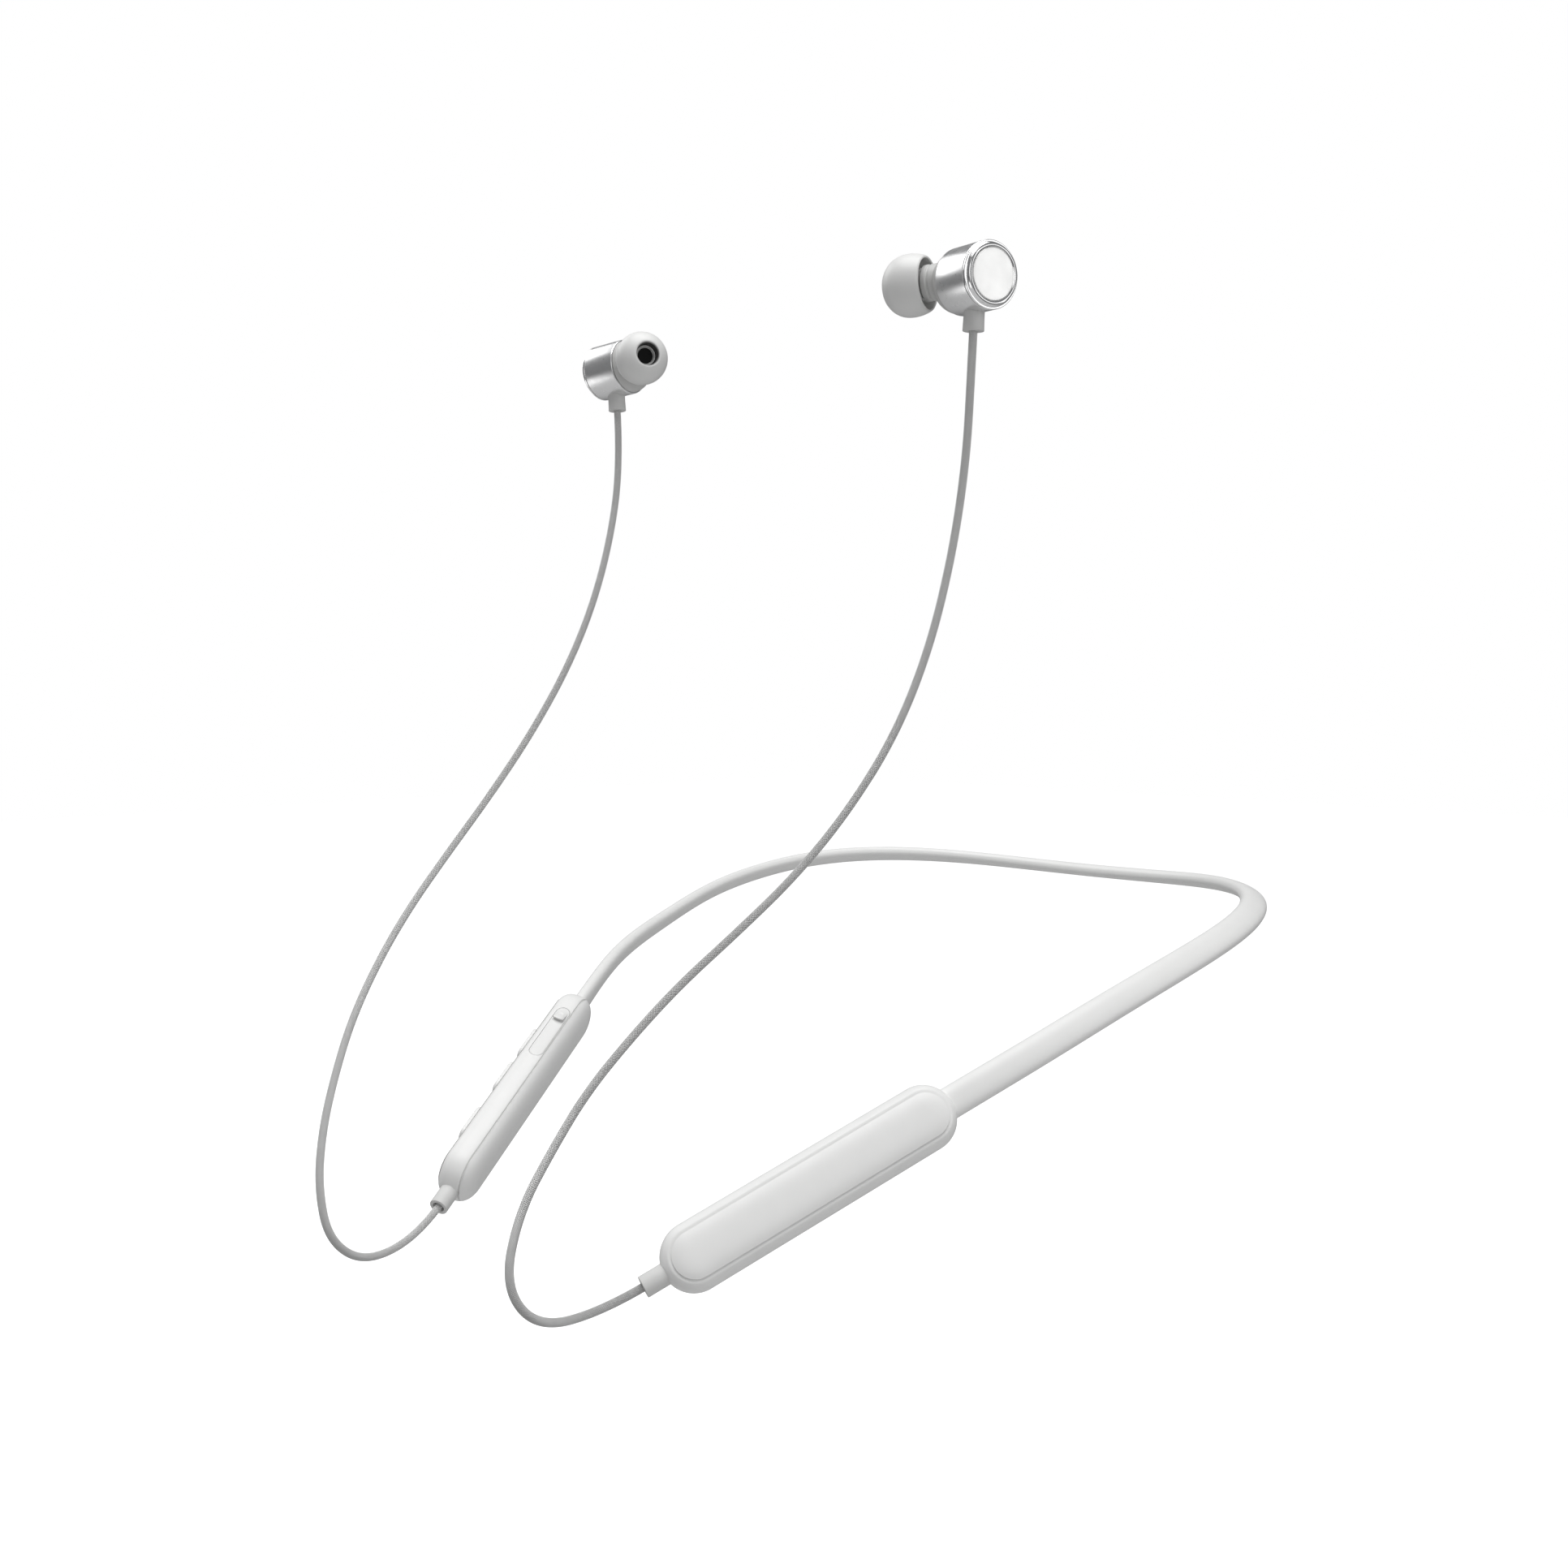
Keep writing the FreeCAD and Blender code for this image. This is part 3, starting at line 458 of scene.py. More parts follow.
def spun(name, outline, place, material, closed=True, count=96, straight=0.0, bar=1,
         sharp=SHARP_ANGLE):
    """An outline of (along, out) turned about the frame's X. With a straight length, the turn
    is a long loop with half-round ends and bar steps along its sides, about the frame's Y."""
    outline = np.asarray(outline, float)
    if straight:
        right, left = half_turns(count // 2)
        ring = [(math.cos(a), math.sin(a), side * straight) for a, side in right]
        ring += [(0.0, 1.0, straight * (1 - 2 * k / bar)) for k in range(1, bar)]
        ring += [(math.cos(a), math.sin(a), side * straight) for a, side in left]
        ring += [(0.0, -1.0, -straight * (1 - 2 * k / bar)) for k in range(1, bar)]
    else:
        ring = [(math.cos(2 * math.pi * k / count), math.sin(2 * math.pi * k / count), 0.0)
                for k in range(count)]
    ring = np.array(ring)
    points = []
    for along, out in outline:
        level = np.full(len(ring), along)
        if straight:
            columns = [ring[:, 0] * out + ring[:, 2], level, ring[:, 1] * out]
        else:
            columns = [level, ring[:, 0] * out, ring[:, 1] * out]
        points.append(np.stack(columns, axis=1))
    faces = grid_faces(len(outline), len(ring), wrap_rows=closed, wrap_columns=True)
    return mesh_piece(name, np.concatenate(points), faces, place, material, sharp)


def joined(name, pieces):
    """Several meshes as one object."""
    work = bmesh.new()
    for piece in pieces:
        work.from_mesh(piece.data)
    keep = pieces[0]
    work.to_mesh(keep.data)
    work.free()
    for piece in pieces[1:]:
        bpy.data.objects.remove(piece)
    keep.name = name
    return keep


def carve(piece, cutters):
    """Cuts closed meshes out of a piece, and leaves no modifier on it."""
    for cutter in cutters:
        modifier = piece.modifiers.new("cut", "BOOLEAN")
        modifier.operation = "DIFFERENCE"
        modifier.solver = "EXACT"
        modifier.object = cutter
        bpy.context.view_layer.update()
        shape = bpy.data.meshes.new_from_object(
            piece.evaluated_get(bpy.context.evaluated_depsgraph_get()))
        piece.modifiers.clear()
        piece.data = shape
        bpy.data.objects.remove(cutter)
    piece.data.set_sharp_from_angle(angle=math.radians(SHARP_ANGLE))


def finish(piece, body, slot, *nodes):
    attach(piece, body)
    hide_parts(*nodes)


def arc_lengths(points):
    """How far along a line each of its points is."""
    steps = np.linalg.norm(np.diff(points, axis=0), axis=1)
    return np.concatenate([[0], np.cumsum(steps)])


def evenly_spaced(dense, count):
    """Points at even steps along a dense line, the direction at each, and how far along it is."""
    arc = arc_lengths(dense)
    even = np.linspace(0, arc[-1], count)
    line = np.stack([np.interp(even, arc, dense[:, k]) for k in range(3)], axis=1)
    direction = np.gradient(line, axis=0)
    direction /= np.linalg.norm(direction, axis=1)[:, None]
    return line, direction, even


# ---- Band ----
# The line from the left pod to the nape, and on from there to the right pod.
BAND_LINE = [
    (57.0, -132.2, -27.5), (63.6, -115.9, -20.0), (69.7, -94.0, -11.6), (72.9, -73.5, -5.6),
    (72.8, -56.0, -1.8), (69.2, -41.0, 0.5), (62.0, -28.0, 1.7), (52.0, -17.5, 1.9),
    (38.5, -8.0, 1.3), (21.0, -1.8, 0.4), (0.0, 0.0, 0.0),
]
RIGHT_BAND_LINE = [
    (-21.0, -1.8, 0.4), (-38.5, -8.0, 1.3), (-52.0, -17.5, 1.9), (-62.0, -28.0, 1.7),
    (-69.2, -41.0, 0.5), (-72.8, -56.0, -1.8), (-72.7, -73.5, -5.2), (-68.7, -94.0, -10.5),
    (-62.0, -115.9, -17.1), (-55.0, -132.4, -25.6),
]
POD_AXIS = {"left": np.array([0.39, 0.82, 0.419]), "right": np.array([-0.325, 0.814, 0.481])}

# The turn of the band's section about its line, in degrees, and how soon it reaches the nape's.
BAND_TURN_AT_POD = {"left": 30.0, "right": 20.0}
BAND_TURN_AT_NAPE, BAND_TURN_POWER = 82.0, 1.25
BAND_INSERT = 4.0
BAND_HEIGHT, BAND_THICKNESS, BAND_SQUARENESS = 6.1, 3.4, 2.5
WIRE_RADIUS, CABLE_RADIUS, CORE_OFFSET = 0.6, 0.7, 1.25
SPLINE_STEPS = 80


def superellipse(half_width, half_height, squareness, angle):
    cosine, sine = math.cos(angle), math.sin(angle)
    power = 2.0 / squareness
    return (half_width * math.copysign(abs(cosine) ** power, cosine),
            half_height * math.copysign(abs(sine) ** power, sine))


def smooth_line(points, first, last, count):
    """Evenly spaced points on a cubic spline through the given ones, with set directions at its
    ends, the direction at each, and how far along it is."""
    points = np.asarray(points, float)
    steps = np.linalg.norm(np.diff(points, axis=0), axis=1)
    n = len(points)
    matrix = np.zeros((n, n))
    right = np.zeros((n, 3))
    matrix[0, 0] = matrix[-1, -1] = 1.0
    right[0], right[-1] = first, last
    for i in range(1, n - 1):
        a, b = steps[i - 1], steps[i]
        matrix[i, i - 1:i + 2] = (b, 2 * (a + b), a)
        right[i] = 3 * (b * (points[i] - points[i - 1]) / a
                        + a * (points[i + 1] - points[i]) / b)
    slopes = np.linalg.solve(matrix, right)
    dense = []
    for i in range(n - 1):
        h = steps[i]
        for t in np.linspace(0, 1, SPLINE_STEPS, endpoint=i == n - 2):
            dense.append((2 * t ** 3 - 3 * t ** 2 + 1) * points[i]
                         + (t ** 3 - 2 * t ** 2 + t) * h * slopes[i]
                         + (3 * t ** 2 - 2 * t ** 3) * points[i + 1]
                         + (t ** 3 - t ** 2) * h * slopes[i + 1])
    return evenly_spaced(np.array(dense), count)


def section_frame(tangent, turn):
    """The long and the short way across the band, with its section turned by this angle."""
    up = np.array([0, 0, 1.0]) - tangent * tangent[2]
    up /= np.linalg.norm(up)
    inward = np.cross(up, tangent)
    angle = math.radians(turn)
    return (up * math.cos(angle) + inward * math.sin(angle),
            inward * math.cos(angle) - up * math.sin(angle))


def band_turn(share):
    """The section's turn at a share of the way from the left pod to the right one."""
    to_nape = 1.0 - abs(2.0 * share - 1.0)
    at_pod = BAND_TURN_AT_POD["left" if share < 0.5 else "right"]
    gone = 1.0 - (1.0 - to_nape) ** BAND_TURN_POWER
    return at_pod + (BAND_TURN_AT_NAPE - at_pod) * gone


def band_sweep(name, material, half_long, half_short, squareness, offset, count, around):
    """The left and the right half of a solid that follows the band."""
    in_left_pod = np.array(BAND_LINE[0]) - POD_AXIS["left"] * BAND_INSERT
    in_right_pod = np.array(RIGHT_BAND_LINE[-1]) - POD_AXIS["right"] * BAND_INSERT
    points = [in_left_pod] + BAND_LINE + RIGHT_BAND_LINE + [in_right_pod]
    line, direction, arc = smooth_line(points, POD_AXIS["left"], -POD_AXIS["right"],
                                       2 * count + 1)
    halves = {}
    for side, span in (("left", range(0, count + 1)), ("right", range(count, 2 * count + 1))):
        rows, local = [], []
        for i in span:
            long_way, short_way = section_frame(direction[i], band_turn(i / (2 * count)))
            centre = line[i] + long_way * offset
            for k in range(around):
                angle = 2 * math.pi * (k + 0.5) / around
                a, b = superellipse(half_long, half_short, squareness, angle)
                rows.append(centre + long_way * a + short_way * b)
                local.append((arc[i], a, b))
        faces = grid_faces(count + 1, around, wrap_columns=True)
        end_in_pod = 0 if side == "left" else count
        faces.append([end_in_pod * around + k for k in range(around)])
        halves[side] = mesh_piece(f"{side}_{name}", rows, faces, Matrix.Identity(4), material,
                                  sharp=50.0, local=local)
    return halves


def build_band():
    """The sleeve, and the spring wire and the cable that run side by side in it."""
    parts = {
        "band_sleeve": ("band_silicone", BAND_HEIGHT / 2, BAND_THICKNESS / 2, BAND_SQUARENESS,
                        0.0, 400, 56),
        "memory_wire": ("spring_wire", WIRE_RADIUS, WIRE_RADIUS, 2.0, CORE_OFFSET, 160, 16),
        "band_cable": ("cable_jacket", CABLE_RADIUS, CABLE_RADIUS, 2.0, -CORE_OFFSET, 160, 16),
    }
    for node, (material, *shape) in parts.items():
        for side, piece in band_sweep(node, material, *shape).items():
            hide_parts(node)
            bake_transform(piece)


# ---- Pods ----
# In a pod's frame X runs from the cord to the band, Y across its depth and Z across its height.
POD_LENGTH, POD_HEIGHT, POD_DEPTH, POD_SQUARENESS = 61.0, 12.4, 8.6, 2.6
POD_WALL, POD_OVERLAP = 1.2, 0.5
POD_BAR = (POD_LENGTH - POD_HEIGHT) / 2
POD_BAR_STEPS, CUTTER_BAR_STEPS = 40, 8
OUTER_SEAM, INNER_SEAM, WINDOW_HALF = 3.45, 2.0, 3.7
SEAM_WIDTH, SEAM_DEPTH = 0.32, 0.36
LIP_ROLL, SKIN_START, FRAME_SKIN_START = 0.07, 0.09, 0.4

BUTTONS = {"volume_down": -12.8, "play": 1.8, "volume_up": 13.2}
BUTTON_LENGTH, BUTTON_WIDTH, BUTTON_PROUD = 9.2, 3.6, 1.15
BUTTON_WINDOW, BUTTON_GAP = (2.05, 6.0), 0.16
DOT_BUTTON = "volume_up"

FLAP_START, FLAP_END, FLAP_WIDTH, FLAP_THICKNESS = 6.0, 22.0, 3.3, 0.75
FLAP_GAP = 0.14
FLAP_MIDDLE = (FLAP_START + FLAP_END) / 2
TAB_LENGTH, TAB_RISE, TAB_HALF_WIDTH = 4.1, 0.95, 1.32
TAB_STATIONS, TAB_AROUND = 18, 22

# The socket's opening behind the port cover, and the microphone's hole in the lower edge, which
# is a pill with next to no straight run.
PORT_X, PORT_LENGTH, PORT_WIDTH, PORT_FLOOR = 12.0, 7.7, 2.7, 3.0
MICROPHONE_X, MICROPHONE_WIDTH, MICROPHONE_FLOOR = -20.0, 1.0, -3.0

RELIEF_LENGTH, RELIEF_RADIUS, MOUTH_RADIUS = 4.1, 2.0, 1.25


def pod_place(side):
    end = np.array(BAND_LINE[0] if side == "left" else RIGHT_BAND_LINE[-1])
    along = POD_AXIS[side]
    onward = along * SIGN[side]
    long_way, _ = section_frame(onward / np.linalg.norm(onward), BAND_TURN_AT_POD[side])
    return placement(end + along * (POD_OVERLAP - POD_LENGTH / 2), along, long_way)


def pod_reach(y, inset=0.0):
    """How far the pod's skin stands from its middle line, at a height y across its depth."""
    half_depth, half_height = POD_DEPTH / 2 - inset, POD_HEIGHT / 2 - inset
    share = max(0.0, 1 - abs(y / half_depth) ** POD_SQUARENESS)
    return half_height * share ** (1 / POD_SQUARENESS)


def crown(y_edge, inset, steps=26):
    """Outline points of the crowned skin from the seam at y_edge to the middle of the cover."""
    half_depth = POD_DEPTH / 2 - inset
    half_height = POD_HEIGHT / 2 - inset
    start = math.asin(min(1.0, (y_edge / half_depth) ** (POD_SQUARENESS / 2)))
    points = []
    for k in range(steps + 1):
        angle = start + (math.pi / 2 - start) * k / steps
        height, depth = superellipse(half_height, half_depth, POD_SQUARENESS, angle)
        points.append((depth, height))
    points[-1] = (half_depth, 0.0)
    return points


def seam_edge(seam, toward):
    """The groove's floor and the rolled lip of the piece on one side of a seam: toward is 1 for
    the piece at greater depth, -1 for the other."""
    lip = seam + toward * SEAM_WIDTH / 2
    return [(seam, pod_reach(seam, SEAM_DEPTH)),
            (lip - toward * 0.02, pod_reach(lip, SEAM_DEPTH)),
            (lip, pod_reach(lip, SEAM_DEPTH * 0.6)), (lip + toward * 0.015, pod_reach(lip, 0.045)),
            (lip + toward * 0.035, pod_reach(lip, 0.012)),
            (lip + toward * LIP_ROLL, pod_reach(lip + toward * LIP_ROLL))]


def cover_outline(sign, seam):
    """A cover in section: its inside, its seam face, a rolled edge and the crowned skin."""
    hollow = seam < POD_DEPTH / 2 - POD_WALL
    inner = crown(seam, POD_WALL) if hollow else [(seam, 0.0)]
    outline = (list(reversed(inner)) + seam_edge(seam, 1)
               + crown(seam + SEAM_WIDTH / 2 + SKIN_START, 0.0))
    return [(sign * y, reach) for y, reach in outline]


def frame_outline(sign):
    """The frame in section, from the inner cover's seam round to the outer cover's."""
    skin = [(y, pod_reach(y)) for y in np.linspace(-INNER_SEAM + FRAME_SKIN_START,
                                                   OUTER_SEAM - FRAME_SKIN_START, 16)]
    inside = [(y, max(pod_reach(y, POD_WALL), WINDOW_HALF))
              for y in (OUTER_SEAM, 2.6, 2.3, 1.8, 1.0, 0.0, -1.0, -INNER_SEAM)]
    outline = (seam_edge(-INNER_SEAM, 1) + skin + list(reversed(seam_edge(OUTER_SEAM, -1)))
               + inside)
    return [(sign * y, reach) for y, reach in outline]


def pod_shells(side, prefix):
    place = pod_place(side)
    outer = -SIGN[side]
    outlines = {
        "outer_cover": (cover_outline(outer, OUTER_SEAM), False),
        "inner_cover": (cover_outline(-outer, INNER_SEAM), False),
        "frame": (frame_outline(outer), True),
    }
    shells = {}
    for name, (outline, closed) in outlines.items():
        shells[name] = spun(f"{prefix}_{name}_skin", outline, place, "white_plastic",
                            closed=closed, straight=POD_BAR, bar=POD_BAR_STEPS, sharp=40.0)
    return shells, place


def pill_cutter(name, x, length, width, low, high, place, standing=False):
    """A pill-shaped cutter through the pod's outer face, or standing, through its edge."""
    outline = [(low, 0.0), (low, width / 2), (high, width / 2), (high, 0.0)]
    shift = Matrix.Translation((x, 0, 0))
    if standing:
        shift = shift @ Matrix.Rotation(math.pi / 2, 4, "X")
    return spun(name, outline, place @ shift, "white_plastic", closed=False, count=48,
                straight=(length - width) / 2, bar=CUTTER_BAR_STEPS)


def relief_piece(name, place):
    """The short straight rubber sleeve that the cord enters, with an open mouth."""
    front = -POD_LENGTH / 2
    mouth = front - RELIEF_LENGTH
    outline = rounded([(mouth + 2.2, 0.0), (mouth + 2.2, MOUTH_RADIUS - 0.05, 0.1),
                       (mouth, MOUTH_RADIUS, 0.12), (mouth, RELIEF_RADIUS, 0.16),
                       (front - 0.5, RELIEF_RADIUS), (front + 1.2, RELIEF_RADIUS),
                       (front + 1.2, 0.0)], closed=False)
    return spun(name, outline, place, "relief_rubber", closed=False, count=64, sharp=50.0)


def button_piece(key, place):
    """A long domed cap with soft edges, on the outer face of the right pod. One cap has a small
    raised dot."""
    face = POD_DEPTH / 2 + BUTTON_PROUD
    half = BUTTON_WIDTH / 2
    shift = Matrix.Translation((BUTTONS[key], 0, 0))
    outline = rounded([(face - 2.4, 0.0), (face - 2.4, half), (face - 0.12, half, 0.34),
                       (face, half - 0.55, 0.8), (face + 0.02, 0.0)], closed=False, steps=8)
    cap = spun(f"{key}_cap", outline, place @ shift, "white_plastic", closed=False, count=64,
               straight=(BUTTON_LENGTH - BUTTON_WIDTH) / 2, bar=CUTTER_BAR_STEPS)
    if key != DOT_BUTTON:
        return cap
    dot = rounded([(face - 0.1, 0.0), (face - 0.1, 0.42, 0.0), (face + 0.14, 0.30, 0.2),
                   (face + 0.18, 0.0)], closed=False)
    turn = shift @ Matrix.Rotation(math.pi / 2, 4, "Z")
    bump = spun(f"{key}_cap_dot", dot, place @ turn, "white_plastic", closed=False, count=32)
    return joined(f"{key}_cap", [cap, bump])


def flap_tongue(name, place):
    """The tongue that fills the frame's slot: loops from its underside over its rolled edge to
    the middle of its top."""
    half_width = FLAP_WIDTH / 2
    bar = (FLAP_END - FLAP_START) / 2 - half_width
    underside = POD_HEIGHT / 2 - FLAP_THICKNESS
    # How far in from the edge each loop is, and how far it lies below the pod's skin.
    top = [(0.0, 0.16), (0.03, 0.05), (0.09, 0.012), (0.2, 0.0), (0.5, 0.0), (0.85, 0.0),
           (1.2, 0.0), (half_width, 0.0)]
    insets = [(half_width, None), (0.0, None)] + top
    right, left = half_turns(40)
    loops = []
    for inset, drop in insets:
        reach = half_width - inset
        for angle, side in right + left:
            y = reach * math.sin(angle)
            loops.append((FLAP_MIDDLE + side * bar + reach * math.cos(angle), y,
                          underside if drop is None else pod_reach(y) - drop))
    faces = grid_faces(len(insets), len(right + left), wrap_columns=True)
    return mesh_piece(name, loops, faces, place, "band_silicone", sharp=60.0)


def flap_tab(name, place):
    """The fingernail tab: it lifts off the skin and swells towards its free end."""
    rows = []
    for i in range(TAB_STATIONS + 1):
        t = i / TAB_STATIONS
        x = FLAP_END - 0.35 - TAB_LENGTH * t
        rise = TAB_RISE * (1 - math.cos(math.pi * min(1.0, t * 1.05))) / 2
        width = TAB_HALF_WIDTH * math.sqrt(max(0.02, 1 - (1 - min(1.0, t * 3.2)) ** 2))
        thick = 0.10 + 0.36 * min(1.0, t * 1.5)
        for k in range(TAB_AROUND):
            angle = 2 * math.pi * k / TAB_AROUND
            a, b = superellipse(width, thick / 2, 2.6, angle)
            bow = 0.35 * (a / TAB_HALF_WIDTH) ** 2 * max(0.0, t - 0.7) / 0.3
            rows.append((x + bow, a,
                         pod_reach(a) + rise - thick / 2 + b - 0.12 * (a / 1.3) ** 2))
    faces = grid_faces(TAB_STATIONS + 1, TAB_AROUND, wrap_columns=True)
    faces.append(list(range(TAB_AROUND)))
    faces.append([TAB_STATIONS * TAB_AROUND + k for k in range(TAB_AROUND)])
    return mesh_piece(name, rows, faces, place, "band_silicone", sharp=60.0)


def flap_piece(name, place):
    """The port cover: a rubber tongue flush with the frame, with a fingernail tab on a post."""
    tongue = flap_tongue(name, place)
    tab = flap_tab(name + "_lip", place)
    post = rounded([(0.0, 0.0), (0.0, 0.95), (0.75, 0.8), (0.75, 0.0)], closed=False)
    stand = (Matrix.Translation((FLAP_END - 2.9, 0, POD_HEIGHT / 2 - 0.15))
             @ Matrix.Rotation(-math.pi / 2, 4, "Y"))
    post = spun(name + "_post", post, place @ stand, "band_silicone", closed=False, count=32)
    return joined(name, [tongue, tab, post])


def build_pods():
    shells, place = pod_shells("left", "battery_pod")
    for name, piece in shells.items():
        finish(piece, "left_arm", "white_plastic", f"battery_pod_{name}")
    finish(relief_piece("battery_pod_relief_sleeve", place), "left_arm", "relief_rubber",
           "battery_pod_relief")

    shells, place = pod_shells("right", "control_pod")
    windows = [pill_cutter(f"window_{key}", x, BUTTON_LENGTH + BUTTON_GAP,
                           BUTTON_WIDTH + BUTTON_GAP, *BUTTON_WINDOW, place)
               for key, x in BUTTONS.items()]
    carve(shells["outer_cover"], windows)
    top = POD_HEIGHT / 2
    recess = pill_cutter("recess", FLAP_MIDDLE, FLAP_END - FLAP_START + FLAP_GAP,
                         FLAP_WIDTH + FLAP_GAP, top - FLAP_THICKNESS, top + 2.0, place,
                         standing=True)
    port = pill_cutter("port", PORT_X, PORT_LENGTH, PORT_WIDTH, PORT_FLOOR, top + 1.0, place,
                       standing=True)
    microphone = pill_cutter("microphone_hole", MICROPHONE_X, MICROPHONE_WIDTH + 0.001,
                             MICROPHONE_WIDTH, -top - 1.0, MICROPHONE_FLOOR, place,
                             standing=True)
    carve(shells["frame"], [recess, port, microphone])
    for name, piece in shells.items():
        finish(piece, "right_arm", "white_plastic", f"control_pod_{name}")
    finish(relief_piece("control_pod_relief_sleeve", place), "right_arm", "relief_rubber",
           "control_pod_relief")
    for key in BUTTONS:
        finish(button_piece(key, place), f"{key}_button", "white_plastic", f"{key}_button")
    finish(flap_piece("port_cover_flap", place), "port_cover", "band_silicone", "port_cover")


# ---- Earbuds ----
# In an earbud's frame X runs from the rear plate to the ear and Z up from its strain relief.
# Turns are in degrees. The nozzle's frame starts near the middle of the housing's front.
CORD_POINT = {"left": (52.5, -120.9, 116.5), "right": (-53.1, -121.3, 115.2)}
BUD_TURN = {"left": -14.0, "right": 9.0}
NOZZLE_ANGLE = {"left": 30.5, "right": 32.0}
NOZZLE_DROOP = {"left": 4.0, "right": 2.0}
NOZZLE_LIFT = {"left": 0.7, "right": -0.4}
BUD_TILT, CORD_DROP = 4.0, 9.6
RADIUS, BACK, FRONT = 6.25, -4.0, 4.5
BORE = RADIUS - 0.8
PLATE_RADIUS = RADIUS - 1.53
DOME_START, DOME_LENGTH, DOME_RADIUS, DOME_STEPS = FRONT + 0.12, 4.4, RADIUS - 0.36, 24

# The outlines below are (along, out) or (along, out, radius), as rounded() takes them.
HOUSING_OUTLINE = [(BACK, BORE), (BACK, RADIUS, 0.10), (FRONT, RADIUS, 0.32), (FRONT, BORE)]
RING_OUTLINE = [
    (BACK + 1.2, BORE - 0.7), (BACK + 1.2, BORE), (BACK, BORE), (BACK, RADIUS - 0.28),
    (BACK - 0.15, RADIUS - 0.28, 0.03), (BACK - 0.17, RADIUS, 0.10),
    (BACK - 0.58, RADIUS - 0.02, 0.16), (BACK - 0.60, RADIUS - 0.42, 0.16),
    (BACK - 0.72, RADIUS - 0.55, 0.12), (BACK - 1.22, RADIUS - 0.62, 0.26),
    (BACK - 1.34, RADIUS - 1.10, 0.26), (BACK - 1.20, RADIUS - 1.50, 0.12),
    (BACK - 0.60, RADIUS - 1.52), (BACK - 0.60, BORE - 0.7),
]
PLATE_OUTLINE = [
    (BACK - 0.6, 0.0), (BACK - 0.6, PLATE_RADIUS), (BACK - 1.30, PLATE_RADIUS, 0.10),
    (BACK - 1.33, PLATE_RADIUS - 0.5), (BACK - 1.33, 0.0),
]
NECK_OUTLINE = [
    (2.0, 0.0), (2.0, 3.4), (5.6, 3.42, 0.3), (5.75, 3.22, 0.1), (6.05, 3.22, 0.1),
    (6.2, 3.42, 0.12), (7.2, 3.4, 0.22), (7.25, 2.5, 0.15), (13.0, 2.3, 0.1),
    (13.4, 2.25, 0.08), (13.4, 1.98, 0.05), (12.8, 1.9), (12.8, 1.75), (8.5, 1.7), (8.5, 0.0),
]
# Forward along the tip's sleeve, back inside its skirt, and forward again over its outside.
TIP_OUTLINE = [
    (7.5, 2.36), (7.5, 3.0), (7.62, 3.06), (12.2, 3.08), (12.65, 3.3), (12.85, 3.75),
    (12.7, 4.2), (12.1, 4.65), (11.2, 4.98), (10.0, 5.18), (8.8, 5.16), (7.8, 4.98),
    (7.0, 4.72), (6.86, 4.74), (6.78, 4.86), (6.80, 5.02), (6.92, 5.2), (7.6, 5.47),
    (8.6, 5.74), (9.6, 5.88), (10.5, 5.90), (11.4, 5.82), (12.3, 5.6), (13.1, 5.24),
    (13.8, 4.76), (14.4, 4.16), (14.85, 3.6), (15.12, 3.12), (15.2, 2.86), (15.12, 2.66),
    (14.9, 2.5), (14.5, 2.40), (13.9, 2.36),
]
BOOT_OUTLINE = [
    (CORD_DROP - 1.0, 0.0), (CORD_DROP - 1.0, 0.82), (CORD_DROP, 0.84, 0.1),
    (CORD_DROP, 2.04, 0.10), (7.2, 1.98), (6.3, 1.98), (5.6, 1.98), (5.6, 0.0),
]


def bud_place(side):
    toward_ear = Vector((-SIGN[side], 0, 0))
    level = Matrix.Rotation(math.radians(BUD_TURN[side]), 3, "Z") @ toward_ear
    tilt = math.radians(BUD_TILT)
    axis = level * math.cos(tilt) + Vector((0, 0, math.sin(tilt)))
    up = Vector((0, 0, math.cos(tilt))) - level * math.sin(tilt)
    return placement(Vector(CORD_POINT[side]) + up * CORD_DROP, axis, up)


def nozzle_place(side):
    lean = Matrix.Rotation(math.radians(NOZZLE_ANGLE[side] * SIGN[side]), 4, "Z")
    droop = Matrix.Rotation(math.radians(NOZZLE_DROOP[side]), 4, "Y")
    return bud_place(side) @ Matrix.Translation((FRONT, 0, NOZZLE_LIFT[side])) @ lean @ droop


def dome_outline():
    """The front shell's plug in the housing and its dome, down to a point on the axis."""
    outline = [(FRONT - 1.0, 0.0), (FRONT - 1.0, BORE), (FRONT + 0.05, BORE),
               (FRONT + 0.05, RADIUS - 0.42), (DOME_START, DOME_RADIUS)]
    for k in range(1, DOME_STEPS + 1):
        angle = math.pi / 2 * k / DOME_STEPS
        outline.append((DOME_START + DOME_LENGTH * math.sin(angle),
                        DOME_RADIUS * math.cos(angle) ** 0.9 if k < DOME_STEPS else 0.0))
    return outline


